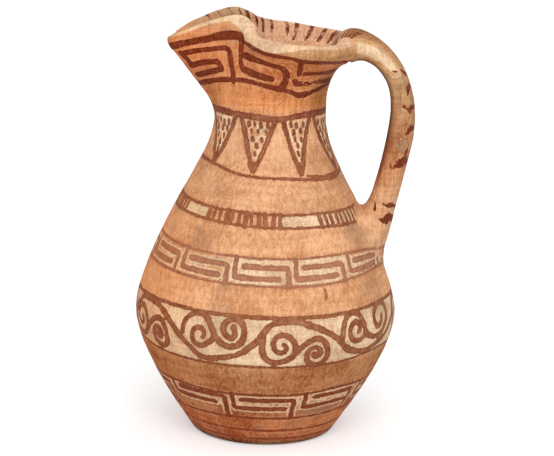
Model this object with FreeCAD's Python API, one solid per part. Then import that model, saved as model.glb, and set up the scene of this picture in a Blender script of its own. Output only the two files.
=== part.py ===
import FreeCAD, Part
import math
import os

from FreeCAD import Vector

# A fired clay pouring jug, put together the way a potter lutes one: a base disc, two thrown
# lengths of body that meet at the belly, a neck, a mouth pinched into three lobes, and a pulled
# handle with a wad of clay pressed round each of its ends. Lengths are millimetres. The origin is
# the centre of the base, +Z is up, the handle stands toward +X and the spout points toward -X.

# Body
base_radius = 38.2
base_edge_round = 2.0
base_thickness = 7.0
belly_radius = 72.0
belly_height = 70.5
neck_radius = 30.4
neck_height = 178.0
wall = 5.2

# Seams above the belly, measured on the outside as shares of the climb from belly to neck, and how
# far every seam climbs inward
neck_seam_share = 0.749
mouth_seam_share = 0.972
seam_climb = 3.0

# Mouth, measured on the outside of its wall, and heights to the top of the lip
rim_height = 222.0
pinch_height = 233.8
spout_tip_height = 220.0
spout_reach = 56.6
spout_half_width = 23.5
pinch_place = 15.5
pinch_skew = 3.0
pinch_half_gap = 24.6
lobe_half_width = 44.2
back_reach = 45.6

# Lip, rolled outward over the side lobes and nearly plain along the spout
lip_height = 8.0
lip_roll = 2.4
spout_lip_roll = 0.6

# Handle, an oval strap
handle_reach = 79.3
handle_crown = 218.4
handle_root_height = 112.0
handle_thickness = 13.2
handle_width = 21.0
handle_root_depth = 9.0
handle_tongue = 8.5
handle_tongue_drop = 7.0

# Wads of clay round the ends of the handle
shoulder_wad_rise = 18.5
shoulder_wad_drop = 15.0
shoulder_wad_swell = 3.0

# Shape of the outer wall. The lower rows are shares of the belly height and of the way from the
# base radius to the belly radius. The upper rows are shares of the climb from belly to neck and of
# the way from the belly radius in to the neck radius.
lower_wall_shares = ((0.28, 0.395), (0.70, 0.860))
upper_wall_shares = ((0.14, 0.075), (0.46, 0.416), (0.74, 0.790), (0.90, 0.962))

# The rim line by its turn round the axis. Each row starts with the share of a half turn from the
# handle to the spout tip. At the back follow shares of the back reach, of the lobe's half width and
# of the rise to the pinch, and at the spout shares of the way from pinch to tip, of the spout's
# half width and of the drop from pinch to tip.
back_rim_shares = (
    (0.11, 0.94, 0.42, 0.00),
    (0.24, 0.77, 0.87, 0.00),
    (0.38, 0.38, 1.00, 0.05),
    (0.51, 0.02, 0.93, 0.18),
)
spout_rim_shares = ((0.76, 0.33, 0.98, 0.10), (0.85, 0.68, 0.94, 0.52), (0.925, 0.94, 0.72, 0.88))
pinch_turn_share = 0.68
pinch_shoulder_turn_share = 0.62
pinch_shoulder_share = 0.80
pinch_shoulder_drop_share = 0.52

# Where the spout's section starts and stops giving way to the side lobes', as shares of the turn
# from the tip to the pinch
spout_fade_shares = (0.66, 1.34)

# The wall of the mouth. Each row has a share of the height from the seam to the lip, and how far
# the wall has flared by then from the round neck toward the rim line, at the spout and elsewhere.
flare_shares = (
    (0.08, 0.00, 0.00),
    (0.24, 0.05, 0.00),
    (0.40, 0.20, 0.03),
    (0.56, 0.38, 0.13),
    (0.72, 0.56, 0.33),
    (0.88, 0.73, 0.62),
)

# The lip in section. Each row has a share of the roll outward, a share of the wall inward, a share
# of the lip height above or below its top, and the flare that the spout has there.
lip_shares = (
    (0.10, 0.00, -1.10, 0.84),
    (0.90, 0.00, -0.78, 0.91),
    (1.10, 0.00, -0.20, 1.00),
    (0.30, 0.40, 0.09, 1.00),
    (0.00, 1.10, -0.12, 0.98),
    (0.00, 1.05, -0.70, 0.90),
)

# The run of the handle. The upper rows are shares of the way out from the rim to the grip and up
# from the root to the crown, the lower rows shares of the way out from the root on the shoulder.
handle_upper_shares = ((0.42, 0.974), (0.86, 0.843), (1.00, 0.680))
handle_lower_shares = ((0.83, 0.450), (0.42, 0.215))

# The swelling of the handle along its run, from the tongue smoothed down inside the mouth: shares
# of the run, of its thickness and of its width.
handle_swell_shares = (
    (0.00, 0.30, 0.80),
    (0.045, 0.95, 1.20),
    (0.09, 1.32, 1.34),
    (0.17, 1.18, 1.18),
    (0.31, 0.94, 1.00),
    (0.46, 1.04, 0.96),
    (0.64, 1.13, 1.00),
    (0.83, 1.17, 1.08),
    (1.00, 1.22, 1.20),
)

# The wad on the shoulder in level ovals: shares of its height, of the handle's thickness that its
# middle lies inside the handle's own middle line, of its half thickness and of its half width.
shoulder_wad_shares = (
    (1.00, 0.15, 0.35, 0.45),
    (0.88, 0.55, 0.90, 0.86),
    (0.62, 0.60, 0.98, 1.00),
    (0.34, 0.58, 1.04, 1.04),
    (0.00, 0.60, 1.04, 0.86),
)

# The wad under the handle at the rim in level ovals: lip heights below the rim, wall thicknesses in
# from the back reach, and shares of the handle's half thickness and half width.
rim_wad_shares = (
    (2.08, 1.50, 0.40, 0.55),
    (1.78, 1.00, 0.62, 0.90),
    (1.48, 0.42, 0.85, 1.15),
    (1.20, -0.10, 0.90, 1.20),
    (0.70, -0.15, 0.60, 0.80),
)

# Counts of points round the mouth and round an oval, the power that flattens an oval's faces, the
# degree of the mouth's skin, and how often a search for a height halves its range
mouth_points = 64
oval_points = 16
oval_roundness = 0.92
surface_degree = 3
halvings = 50

axis = Vector(0, 0, 1)
centre = Vector(0, 0, 0)


def blend(start, end, share):
    """The value a share of the way from start to end."""
    return start + (end - start) * share


def smooth_curve(points, start_tangent=None, end_tangent=None):
    """A curve through the points, leaving and arriving along the tangents where given."""
    curve = Part.BSplineCurve()
    if start_tangent is None:
        curve.interpolate(points)
    else:
        curve.interpolate(points, InitialTangent=start_tangent, FinalTangent=end_tangent)
    return curve


def outer_wall_curve():
    """Half the outline of body and neck, from the foot of the base to above the mouth seam."""
    lower = [
        Vector(blend(base_radius, belly_radius, out), 0, belly_height * up)
        for up, out in lower_wall_shares
    ]
    upper = [
        Vector(blend(belly_radius, neck_radius, inward), 0, blend(belly_height, neck_height, up))
        for up, inward in upper_wall_shares
    ]
    points = [Vector(base_radius, 0, 0)] + lower + [Vector(belly_radius, 0, belly_height)]
    points = points + upper + [Vector(neck_radius, 0, neck_height)]
    start = points[1] - points[0]
    return smooth_curve(points, start, axis * start.Length)


def inner_wall_curve(outer):
    """The inside of the wall, one wall thickness square in from points of the outside."""
    steps = len(lower_wall_shares) + len(upper_wall_shares) + 2
    points = []
    tangents = []
    for step in range(2 * steps + 1):
        place = blend(outer.FirstParameter, outer.LastParameter, step / (2 * steps))
        tangent = outer.tangent(place)[0]
        inward = Vector(-tangent.z, 0, tangent.x)
        points.append(outer.value(place) + inward * wall)
        tangents.append(tangent)
    points.append(points[-1] + tangents[-1] * seam_climb)
    return smooth_curve(points)


def seam_height(seam_share):
    """The height of a seam on the outside of the wall."""
    return blend(belly_height, neck_height, seam_share)


def place_at_height(curve, height):
    """The parameter where a rising curve passes a height, by halving."""
    low = curve.FirstParameter
    high = curve.LastParameter
    for _ in range(halvings):
        middle = (low + high) / 2
        if curve.value(middle).z < height:
            low = middle
        else:
            high = middle
    return (low + high) / 2


def radius_at(curve, height):
    """The distance from the axis to a wall curve at a height."""
    return curve.value(place_at_height(curve, height)).x


def turned_solid(edges):
    """The solid that a closed outline of edges sweeps in a full turn about the axis."""
    face = Part.Face(Part.Wire(Part.__sortEdges__(edges)))
    return face.revolve(centre, axis, 360)


def wall_length(outer, inner, low_seam, high_seam):
    """One thrown length of wall, with a slanted seam at each end."""
    outside = outer.toShape(place_at_height(outer, low_seam), place_at_height(outer, high_seam))
    inner_low = place_at_height(inner, low_seam + seam_climb)
    inner_high = place_at_height(inner, high_seam + seam_climb)
    inside = inner.toShape(inner_low, inner_high)
    low_joint = Part.makeLine(outside.valueAt(outside.FirstParameter), inner.value(inner_low))
    high_joint = Part.makeLine(outside.valueAt(outside.LastParameter), inner.value(inner_high))
    return turned_solid([outside, high_joint, inside, low_joint])


def base_disc(outer, inner):
    """The floor of the jug: a disc with a rounded foot and a slanted edge under the wall."""
    seam = base_thickness - seam_climb
    foot = outer.value(place_at_height(outer, base_edge_round))
    edge_start = Vector(foot.x - base_edge_round, 0, 0)
    from_corner = base_edge_round * (1 - math.sqrt(0.5))
    rounding = Part.Arc(edge_start, Vector(foot.x - from_corner, 0, from_corner), foot).toShape()
    outside = outer.toShape(place_at_height(outer, base_edge_round), place_at_height(outer, seam))
    top_outside = outside.valueAt(outside.LastParameter)
    top_inside = inner.value(place_at_height(inner, base_thickness))
    floor_centre = Vector(0, 0, base_thickness)
    return turned_solid(
        [
            Part.makeLine(centre, edge_start),
            rounding,
            outside,
            Part.makeLine(top_outside, top_inside),
            Part.makeLine(top_inside, floor_centre),
            Part.makeLine(floor_centre, centre),
        ]
    )


def filled_body(outer):
    """The body and neck as if solid, to trim what is pressed against their outside."""
    top = outer.value(outer.LastParameter)
    top_centre = Vector(0, 0, top.z)
    return turned_solid(
        [
            Part.makeLine(centre, outer.value(outer.FirstParameter)),
            outer.toShape(),
            Part.makeLine(top, top_centre),
            Part.makeLine(top_centre, centre),
        ]
    )


def rim_half(side):
    """One half of the rim, from beside the handle to beside the tip, by turn and point."""
    pinch = Vector(-pinch_place - side * pinch_skew, side * pinch_half_gap, pinch_height)
    stations = []
    for turn, out, aside, rise in back_rim_shares:
        height = blend(rim_height, pinch_height, rise)
        point = Vector(back_reach * out, side * lobe_half_width * aside, height)
        stations.append((turn, point))
    turn_in = blend(point.x, pinch.x, pinch_shoulder_share)
    turn_aside = blend(point.y, pinch.y, pinch_shoulder_share)
    turn_height = blend(pinch_height, rim_height, pinch_shoulder_drop_share)
    stations.append((pinch_shoulder_turn_share, Vector(turn_in, turn_aside, turn_height)))
    stations.append((pinch_turn_share, pinch))
    for turn, out, aside, down in spout_rim_shares:
        out_place = blend(pinch.x, -spout_reach, out)
        height = blend(pinch_height, spout_tip_height, down)
        stations.append((turn, Vector(out_place, side * spout_half_width * aside, height)))
    return stations


def rim_line():
    """The pinched rim as a closed curve, whose parameter is the turn round the axis."""
    back = (0.0, Vector(back_reach, 0, rim_height))
    tip = (1.0, Vector(-spout_reach, 0, spout_tip_height))
    near_half = [(2.0 - turn, point) for turn, point in reversed(rim_half(-1))]
    stations = [back] + rim_half(1) + [tip] + near_half
    turns = [turn for turn, point in stations] + [2.0]
    curve = Part.BSplineCurve()
    curve.interpolate([point for turn, point in stations], PeriodicFlag=True, Parameters=turns)
    return curve


def spout_weight(turn):
    """One along the spout and nought beyond the pinches, changing over smoothly between."""
    start, stop = spout_fade_shares
    pinches_passed = abs(turn - 1.0) / (1.0 - pinch_turn_share)
    faded = min(max((pinches_passed - start) / (stop - start), 0.0), 1.0)
    return 1.0 - faded * faded * (3.0 - 2.0 * faded)


def mouth_net(outer, inner):
    """Rows of control points that run up the outside of the mouth, over the lip and down inside.

    Each point lies between a circle at the seam and the rim line, and is then moved square to
    the wall: outward by a share of the lip's roll or inward by a share of the wall."""
    rim = rim_line()
    seam = seam_height(mouth_seam_share)
    seam_radius = radius_at(outer, seam)
    inner_seam = seam + seam_climb
    inner_seam_radius = radius_at(inner, inner_seam)
    step = 2 * math.pi / mouth_points
    ring_correction = 3 / (2 + math.cos(step))
    columns = []
    for index in range(mouth_points):
        turn = 2.0 * index / mouth_points
        weight = spout_weight(turn)
        radial = Vector(math.cos(index * step), math.sin(index * step), 0)
        top = rim.value(turn)
        along = rim.tangent(turn)[0]
        square = Vector(along.y, -along.x, 0).normalize()
        root = radial * seam_radius
        roll = blend(lip_roll, spout_lip_roll, weight)
        flared = Vector(top.x, top.y, 0)
        column = [radial * (seam_radius * ring_correction) + axis * seam]
        rows = [(up, blend(back, spout, weight)) for up, spout, back in flare_shares]
        wall_top = top.z - lip_height
        for up, flare in rows:
            height = blend(seam, wall_top, up)
            column.append(root * (1 - flare) + flared * flare + axis * height)
        for out, inward, up, spout_flare in lip_shares:
            flare = blend(1.0, spout_flare, weight)
            aside = square * (roll * out - wall * inward)
            height = top.z + lip_height * up
            column.append(root * (1 - flare) + flared * flare + aside + axis * height)
        for up, flare in reversed(rows):
            facing = (radial * (1 - flare) + square * flare).normalize()
            height = blend(inner_seam, wall_top, up)
            column.append(root * (1 - flare) + flared * flare - facing * wall + axis * height)
        column.append(radial * (inner_seam_radius * ring_correction) + axis * inner_seam)
        columns.append(column)
    return columns


def mouth(outer, inner):
    """The collar with its trefoil lip, as one skin over the net, closed at the seam."""
    net = mouth_net(outer, inner)
    rows = len(net[0])
    skin = Part.BSplineSurface()
    round_knots = list(range(mouth_points + 1))
    up_knots = list(range(rows - surface_degree + 1))
    end_count = surface_degree + 1
    skin.buildFromPolesMultsKnots(
        net,
        [1] * len(round_knots),
        [end_count] + [1] * (len(up_knots) - 2) + [end_count],
        round_knots,
        up_knots,
        True,
        False,
        surface_degree,
        surface_degree,
    )
    face = skin.toShape()
    rings = [edge for edge in face.Edges if edge.isClosed()]
    joint = Part.makeRuledSurface(rings[0], rings[1])
    shell = Part.makeShell([face, joint])
    shell.sewShape()
    solid = Part.makeSolid(shell)
    if solid.Volume < 0:
        solid.reverse()
    return solid


def oval(middle, aside, across, half_width, half_thickness):
    """A closed oval with slightly flattened faces, square to the run of the handle."""
    points = []
    for index in range(oval_points):
        turn = 2 * math.pi * index / oval_points
        wide = flattened(math.cos(turn)) * half_width
        thick = flattened(math.sin(turn)) * half_thickness
        points.append(middle + aside * wide + across * thick)
    curve = Part.BSplineCurve()
    steps = list(range(oval_points + 1))
    curve.interpolate(points, PeriodicFlag=True, Parameters=steps)
    return Part.Wire(curve.toShape())


def flattened(value):
    """A sine or cosine pushed out toward one, so that an oval gets flatter faces."""
    return math.copysign(abs(value) ** oval_roundness, value)


def handle_line(outer):
    """The middle line of the handle, from inside the mouth over the rim and into the shoulder."""
    rim_place = back_reach - wall / 2
    grip_place = handle_reach - handle_thickness / 2
    root = Vector(radius_at(outer, handle_root_height), 0, handle_root_height)
    tongue_place = back_reach - wall - handle_tongue
    tongue_tip = Vector(tongue_place, 0, handle_crown - handle_tongue_drop)
    points = [tongue_tip, Vector(rim_place, 0, handle_crown)]
    for out, up in handle_upper_shares:
        height = blend(root.z, handle_crown, up)
        points.append(Vector(blend(rim_place, grip_place, out), 0, height))
    for out, up in handle_lower_shares:
        points.append(Vector(blend(root.x, grip_place, out), 0, blend(root.z, handle_crown, up)))
    down = (root - points[-1]).normalize()
    points.append(root)
    points.append(root + down * handle_root_depth)
    return smooth_curve(points)


def handle_section(line, run, thickness_share, width_share):
    """The oval of the handle at a share of its run."""
    place = blend(line.FirstParameter, line.LastParameter, run)
    along = line.tangent(place)[0]
    aside = Vector(0, 1, 0)
    across = aside.cross(along)
    half_width = handle_width * width_share / 2
    half_thickness = handle_thickness * thickness_share / 2
    return oval(line.value(place), aside, across, half_width, half_thickness)


def handle(line, body, collar):
    """The pulled handle, trimmed where it meets the rim and the shoulder."""
    sections = [handle_section(line, *row) for row in handle_swell_shares]
    return Part.makeLoft(sections, True).cut(body).cut(collar)


def shoulder_wad(line, body, strap):
    """The clay smoothed round the foot of the handle, laid up in level ovals."""
    low = handle_root_height - shoulder_wad_drop
    high = handle_root_height + shoulder_wad_rise
    sections = []
    for up, inward, thick, wide in shoulder_wad_shares:
        height = blend(low, high, up)
        middle = line.value(place_falling(line, max(height, line_end(line).z)))
        middle = Vector(middle.x - handle_thickness * inward, 0, height)
        half_thickness = (handle_thickness / 2 + shoulder_wad_swell) * thick
        half_width = (handle_width / 2 + shoulder_wad_swell) * wide
        sections.append(oval(middle, Vector(0, 1, 0), Vector(1, 0, 0), half_width, half_thickness))
    return Part.makeLoft(sections, True).cut(body).cut(strap)


def line_end(line):
    """The last point of the handle's line, inside the shoulder."""
    return line.value(line.LastParameter)


def place_falling(line, height):
    """The parameter where the handle's line comes down past a height, by halving."""
    low = blend(line.FirstParameter, line.LastParameter, handle_swell_shares[2][0])
    high = line.LastParameter
    for _ in range(halvings):
        middle = (low + high) / 2
        if line.value(middle).z > height:
            low = middle
        else:
            high = middle
    return (low + high) / 2


def rim_wad(collar, strap):
    """The clay smoothed under the handle where it leaves the rim, laid up in level ovals."""
    sections = []
    for down, inward, thick, wide in rim_wad_shares:
        middle = Vector(back_reach - wall * inward, 0, rim_height - lip_height * down)
        half_thickness = handle_thickness / 2 * thick
        half_width = handle_width / 2 * wide
        sections.append(oval(middle, Vector(0, 1, 0), Vector(1, 0, 0), half_width, half_thickness))
    return Part.makeLoft(sections, True).cut(collar).cut(strap)


def main():
    os.makedirs("parts", exist_ok=True)
    outer = outer_wall_curve()
    inner = inner_wall_curve(outer)
    base_seam = base_thickness - seam_climb
    neck_seam = seam_height(neck_seam_share)
    mouth_seam = seam_height(mouth_seam_share)
    parts = {
        "base_disc": base_disc(outer, inner),
        "lower_body": wall_length(outer, inner, base_seam, belly_height),
        "shoulder": wall_length(outer, inner, belly_height, neck_seam),
        "neck": wall_length(outer, inner, neck_seam, mouth_seam),
        "mouth": mouth(outer, inner),
    }
    body = filled_body(outer)
    line = handle_line(outer)
    parts["handle"] = handle(line, body, parts["mouth"])
    parts["handle_shoulder_lute"] = shoulder_wad(line, body, parts["handle"])
    parts["handle_rim_lute"] = rim_wad(parts["mouth"], parts["handle"])
    for name, shape in parts.items():
        print(name, shape.isValid(), round(shape.Volume), len(shape.Solids))
        shape.exportStep("parts/" + name + ".step")


main()
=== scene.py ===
import math

import bpy
import numpy as np
from mathutils import Matrix, Vector
from mathutils.kdtree import KDTree


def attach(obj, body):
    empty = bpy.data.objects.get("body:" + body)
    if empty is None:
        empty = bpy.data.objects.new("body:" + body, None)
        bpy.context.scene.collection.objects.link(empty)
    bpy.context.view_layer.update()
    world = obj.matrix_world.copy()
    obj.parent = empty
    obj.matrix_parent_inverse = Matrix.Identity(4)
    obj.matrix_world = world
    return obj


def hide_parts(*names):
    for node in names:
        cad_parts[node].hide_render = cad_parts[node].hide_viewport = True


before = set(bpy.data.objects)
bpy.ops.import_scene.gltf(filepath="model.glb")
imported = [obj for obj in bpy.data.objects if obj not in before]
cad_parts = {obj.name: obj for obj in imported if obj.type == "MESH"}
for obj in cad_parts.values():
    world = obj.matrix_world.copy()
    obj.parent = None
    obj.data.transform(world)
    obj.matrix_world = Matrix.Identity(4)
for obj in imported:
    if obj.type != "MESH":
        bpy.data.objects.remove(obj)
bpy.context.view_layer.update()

# A fired clay pouring jug with a pinched mouth and a pulled strap handle. Lengths are millimetres
# and angles are degrees round the axis: 0 at the handle, 180 at the spout, -90 on the near side.
mm = 0.001

# Body and neck, as the potter threw them
base_radius = 38.2
base_edge_round = 2.0
floor_thickness = 7.0
belly_radius = 72.0
belly_height = 70.5
neck_radius = 30.4
neck_height = 178.0
wall = 5.2
seam_climb = 3.0
neck_seam_share = 0.749
mouth_seam_share = 0.972
lower_wall_shares = ((0.28, 0.395), (0.70, 0.860))
upper_wall_shares = ((0.14, 0.075), (0.46, 0.416), (0.74, 0.790), (0.90, 0.962))

# Mouth, on the outside of its wall
rim_height = 222.0
pinch_height = 233.8
spout_tip_height = 220.0
spout_reach = 56.6
spout_half_width = 23.5
pinch_place = 15.5
pinch_skew = 3.0
pinch_half_gap = 24.6
lobe_half_width = 44.2
back_reach = 45.6
lip_height = 8.0
lip_roll = 2.4
spout_lip_roll = 0.6
pinch_turn_share = 0.68
pinch_shoulder_turn_share = 0.62
pinch_shoulder_share = 0.80
pinch_shoulder_drop_share = 0.52
spout_fade_shares = (0.66, 1.34)
back_rim_shares = (
    (0.11, 0.94, 0.42, 0.00),
    (0.24, 0.77, 0.87, 0.00),
    (0.38, 0.38, 1.00, 0.05),
    (0.51, 0.02, 0.93, 0.18),
)
rim_sways = ((106.0, 13.0, 2.4), (122.0, 7.0, -1.4), (45.0, 18.0, -1.2))
spout_rim_shares = ((0.76, 0.33, 0.98, 0.10), (0.85, 0.68, 0.94, 0.52), (0.925, 0.94, 0.72, 0.88))
flare_shares = (
    (0.08, 0.00, 0.00),
    (0.24, 0.05, 0.00),
    (0.40, 0.20, 0.03),
    (0.56, 0.38, 0.13),
    (0.72, 0.56, 0.33),
    (0.88, 0.73, 0.62),
)
lip_shares = (
    (-0.15, 0.00, -1.08, 0.84),
    (0.95, 0.00, -0.84, 0.91),
    (1.10, 0.00, -0.20, 1.00),
    (0.30, 0.40, 0.09, 1.00),
    (0.00, 1.10, -0.12, 0.98),
    (0.00, 1.05, -0.70, 0.90),
)

# Handle
handle_reach = 79.3
handle_crown = 218.4
handle_root_height = 112.0
handle_thickness = 13.2
handle_width = 21.0
handle_root_depth = 9.0
handle_tongue = 8.5
handle_tongue_drop = 7.0
oval_roundness = 0.92
handle_upper_shares = ((0.42, 0.974), (0.86, 0.843), (1.00, 0.680))
handle_lower_shares = ((0.83, 0.450), (0.42, 0.215))
handle_swell_shares = (
    (0.00, 0.30, 0.80),
    (0.045, 0.84, 1.20),
    (0.09, 1.18, 1.34),
    (0.17, 1.08, 1.18),
    (0.31, 0.89, 1.00),
    (0.46, 1.02, 0.96),
    (0.64, 1.13, 1.00),
    (0.83, 1.17, 1.08),
    (1.00, 1.22, 1.20),
)
rim_melt_reach = 8.0
root_fillet_side = 7.5
root_fillet_crook = 10.5
root_fillet_heel = 6.0
rim_melt_run_share = 0.3
rim_melt_room = (12, 32, 196)
rim_wad_share = 0.13
root_settling_rows = 12

# How closely the skins are woven
columns_round = 640
rows_up_lower_body = 120
rows_up_shoulder = 126
rows_up_neck = 38
inner_rows = 28
mouth_columns = 608
mouth_rows = 160
handle_columns = 144
handle_rows = 340
fillet_rows = 26


# Curves and smooth random heights


def smooth_through(stations, values, places, cyclic=False, ends=None):
    """Cubic pieces through values at stations, read at places.

    The slopes m at the stations bend the curve evenly: with steps h and rises d per step,
    h1 m0 + 2 (h0 + h1) m1 + h0 m2 = 3 (h1 d0 + h0 d1). Free ends have no bend."""
    stations = np.asarray(stations, float)
    values = np.asarray(values, float).reshape(len(stations), -1)
    steps = np.diff(stations)
    rises = np.diff(values, axis=0) / steps[:, None]
    count = len(stations) - 1 if cyclic else len(stations)
    matrix = np.zeros((count, count))
    wanted = np.zeros((count, values.shape[1]))
    here = np.arange(count) if cyclic else np.arange(1, count - 1)
    before = (here - 1) % count
    after = (here + 1) % count
    np.add.at(matrix, (here, before), steps[here])
    np.add.at(matrix, (here, here), 2 * (steps[before] + steps[here]))
    np.add.at(matrix, (here, after), steps[before])
    wanted[here] = 3 * (steps[here, None] * rises[before] + steps[before, None] * rises[here])
    if not cyclic:
        for row, beside in ((0, 1), (-1, -2)):
            matrix[row, row] = 2 if ends is None else 1
            matrix[row, beside] = 1 if ends is None else 0
            wanted[row] = 3 * rises[row] if ends is None else ends[row]
    slopes = np.linalg.solve(matrix, wanted)
    slopes = np.vstack([slopes, slopes[:1]]) if cyclic else slopes
    places = np.asarray(places, float)
    if cyclic:
        places = stations[0] + np.mod(places - stations[0], stations[-1] - stations[0])
    piece = np.clip(np.searchsorted(stations, places, side="right") - 1, 0, len(steps) - 1)
    step = steps[piece][..., None]
    share = (places[..., None] - stations[piece][..., None]) / step
    rest = 1 - share
    return (
        values[piece] * rest**2 * (1 + 2 * share)
        + values[piece + 1] * share**2 * (1 + 2 * rest)
        + step * share * rest * (slopes[piece] * rest - slopes[piece + 1] * share)
    )


def chord_lengths(points):
    """The length of the run from the first point to each point, along straight chords."""
    return np.concatenate([[0], np.cumsum(np.linalg.norm(np.diff(points, axis=0), axis=1))])


def unit(vectors):
    """Vectors of length one."""
    return vectors / np.maximum(np.linalg.norm(vectors, axis=-1, keepdims=True), 1e-9)


def eased(value, low, high):
    """Nought below low, one above high and 3t² - 2t³ between."""
    share = np.clip((value - low) / (high - low), 0, 1)
    return share * share * (3 - 2 * share)


lattice_side = 32
lattice = np.random.default_rng(11).random((lattice_side,) * 3)


def cloud(points, size, layer=0):
    """Smooth random heights from -1 to 1, whose swells are about one size across.

    Random values at the corners of a cubic lattice are blended by 3t² - 2t³ along each axis."""
    spots = np.asarray(points) / size + 7.3 * layer
    cell = np.floor(spots).astype(int)
    share = spots - cell
    share = share * share * (3 - 2 * share)
    total = 0
    for corner in np.ndindex(2, 2, 2):
        weight = np.prod(np.where(corner, share, 1 - share), axis=-1)
        x, y, z = np.moveaxis((cell + corner) % lattice_side, -1, 0)
        total = total + weight * lattice[x, y, z]
    return 2 * total - 1


def round_axis(angle, radius, height):
    """Points at an angle in radians, a radius and a height."""
    return np.stack(
        np.broadcast_arrays(radius * np.cos(angle), radius * np.sin(angle), height), axis=-1
    )


def around_axis(points):
    """The angles of points round the axis, in degrees."""
    return np.degrees(np.arctan2(points[..., 1], points[..., 0]))


def even_turns(columns):
    """The angles, in radians, of columns that stand evenly round one turn."""
    return np.arange(columns) * 2 * math.pi / columns


# The outline of body and neck


def wall_outline():
    """Radius and height up the outside wall, through the widths at chosen heights."""
    up, out = np.array(lower_wall_shares).T
    lower = np.stack([base_radius + (belly_radius - base_radius) * out, belly_height * up], axis=1)
    up, inward = np.array(upper_wall_shares).T
    upper_radii = belly_radius + (neck_radius - belly_radius) * inward
    upper = np.stack([upper_radii, belly_height + (neck_height - belly_height) * up], axis=1)
    belly = [[belly_radius, belly_height]]
    points = np.vstack([[[base_radius, 0]], lower, belly, upper, [[neck_radius, neck_height]]])
    runs = chord_lengths(points)
    ends = {0: unit(points[1] - points[0]), -1: np.array([0, 1])}
    curve = smooth_through(runs, points, np.linspace(0, runs[-1], 1600), ends=ends)
    neck_top = curve[-1] + np.outer(np.linspace(0.1, 14, 60), [0, 1])
    return np.vstack([curve, neck_top])


outline = wall_outline()
outline_run = chord_lengths(outline)
outline_along = unit(np.gradient(outline, axis=0))
neck_seam = belly_height + (neck_height - belly_height) * neck_seam_share
mouth_seam = belly_height + (neck_height - belly_height) * mouth_seam_share
base_seam = floor_thickness - seam_climb


def outer_radius(height):
    """The radius of the outside wall at a height."""
    return np.interp(height, outline[:, 1], outline[:, 0])


def wall_tilt(height):
    """The outward direction of the outside wall at a height, as a radial and an upward share."""
    radial = np.interp(height, outline[:, 1], outline_along[:, 1])
    upward = -np.interp(height, outline[:, 1], outline_along[:, 0])
    return radial, upward


def inner_outline():
    """Radius and height of the inside wall, one wall square in from the outside."""
    inward = np.stack([-outline_along[:, 1], outline_along[:, 0]], axis=1)
    return outline + wall * inward


inside = inner_outline()


def inner_radius(height):
    """The radius of the inside wall at a height."""
    return np.interp(height, inside[:, 1], inside[:, 0])


def heights_between(low, high, rows):
    """Heights that divide the outside wall between two heights into equal runs."""
    run_low, run_high = np.interp([low, high], outline[:, 1], outline_run)
    return np.interp(np.linspace(run_low, run_high, rows), outline_run, outline[:, 1])


# What hand, wheel and years do to the surface

gouge_angle = -55.0
gouge_height = 91.0
chip_place = 54.3
chip_depth = 2.4


def thrown_relief(points):
    """How far the fired surface stands out from the plain turned one, in millimetres.

    Slow swells where hands eased the wall, faint rings from the wheel, which are swells squeezed
    flat in height, and fine tooth."""
    rings = points * np.array([0.05, 0.05, 1.0])
    return (
        0.38 * cloud(points, 34)
        + 0.12 * cloud(points, 9, 1)
        + 0.10 * cloud(rings, 5.2, 2)
        + 0.05 * cloud(rings, 2.1, 3)
        + 0.035 * cloud(points, 1.7, 4)
    )


def pits(points, size, share, layer):
    """Shallow bowls from 0 to 1 deep where a random cloud is highest."""
    return eased(cloud(points, size, layer), 1 - 2 * share, 1.0)


def gouge(points):
    """The depth of an old vertical nick in the wall: a narrow bell across it, blunt at its ends."""
    angle = np.radians(gouge_angle)
    across = points[..., 1] * math.cos(angle) - points[..., 0] * math.sin(angle)
    facing = points[..., 0] * math.cos(angle) + points[..., 1] * math.sin(angle) > 0
    along = points[..., 2] - gouge_height + 0.25 * across
    bow = across + 0.06 * along**2 - 0.3
    return facing * np.exp(-((bow / 0.85) ** 2)) * eased(3.9 - np.abs(along), 0, 1.6)


def outer_skin(heights, columns):
    """Rings of the outside wall at heights, with its relief."""
    angle = even_turns(columns)
    radius = outer_radius(heights)
    corner = np.clip(1 - heights / base_edge_round, 0, 1)
    radius = radius - base_edge_round * (1 - np.sqrt(1 - corner**2))
    plain = round_axis(angle[None, :], radius[:, None], heights[:, None])
    radial, upward = wall_tilt(heights)
    outward = round_axis(angle[None, :], radial[:, None], upward[:, None])
    rise = thrown_relief(plain) - 0.35 * pits(plain, 3.1, 0.12, 5) - 1.1 * gouge(plain)
    foot = eased(7.0 - heights, 0, 7.0)[:, None]
    rise = rise - foot * (0.9 * pits(plain, 5.0, 0.22, 6) + 0.3 * pits(plain, 2.2, 0.2, 7))
    settled = eased(heights, 0.0, 1.2)[:, None]
    return plain + outward * (rise * settled)[..., None]


def inner_skin(heights, columns):
    """Rings of the inside wall at heights, with the deeper ridges that fingers leave."""
    angle = even_turns(columns)
    radius = inner_radius(heights)
    plain = round_axis(angle[None, :], radius[:, None], heights[:, None])
    ridges = 0.4 * cloud(plain * np.array([0.06, 0.06, 1.0]), 7.5, 8) + 0.1 * cloud(plain, 3.0, 9)
    return plain - round_axis(angle[None, :], ridges, 0)


# The mouth


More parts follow.
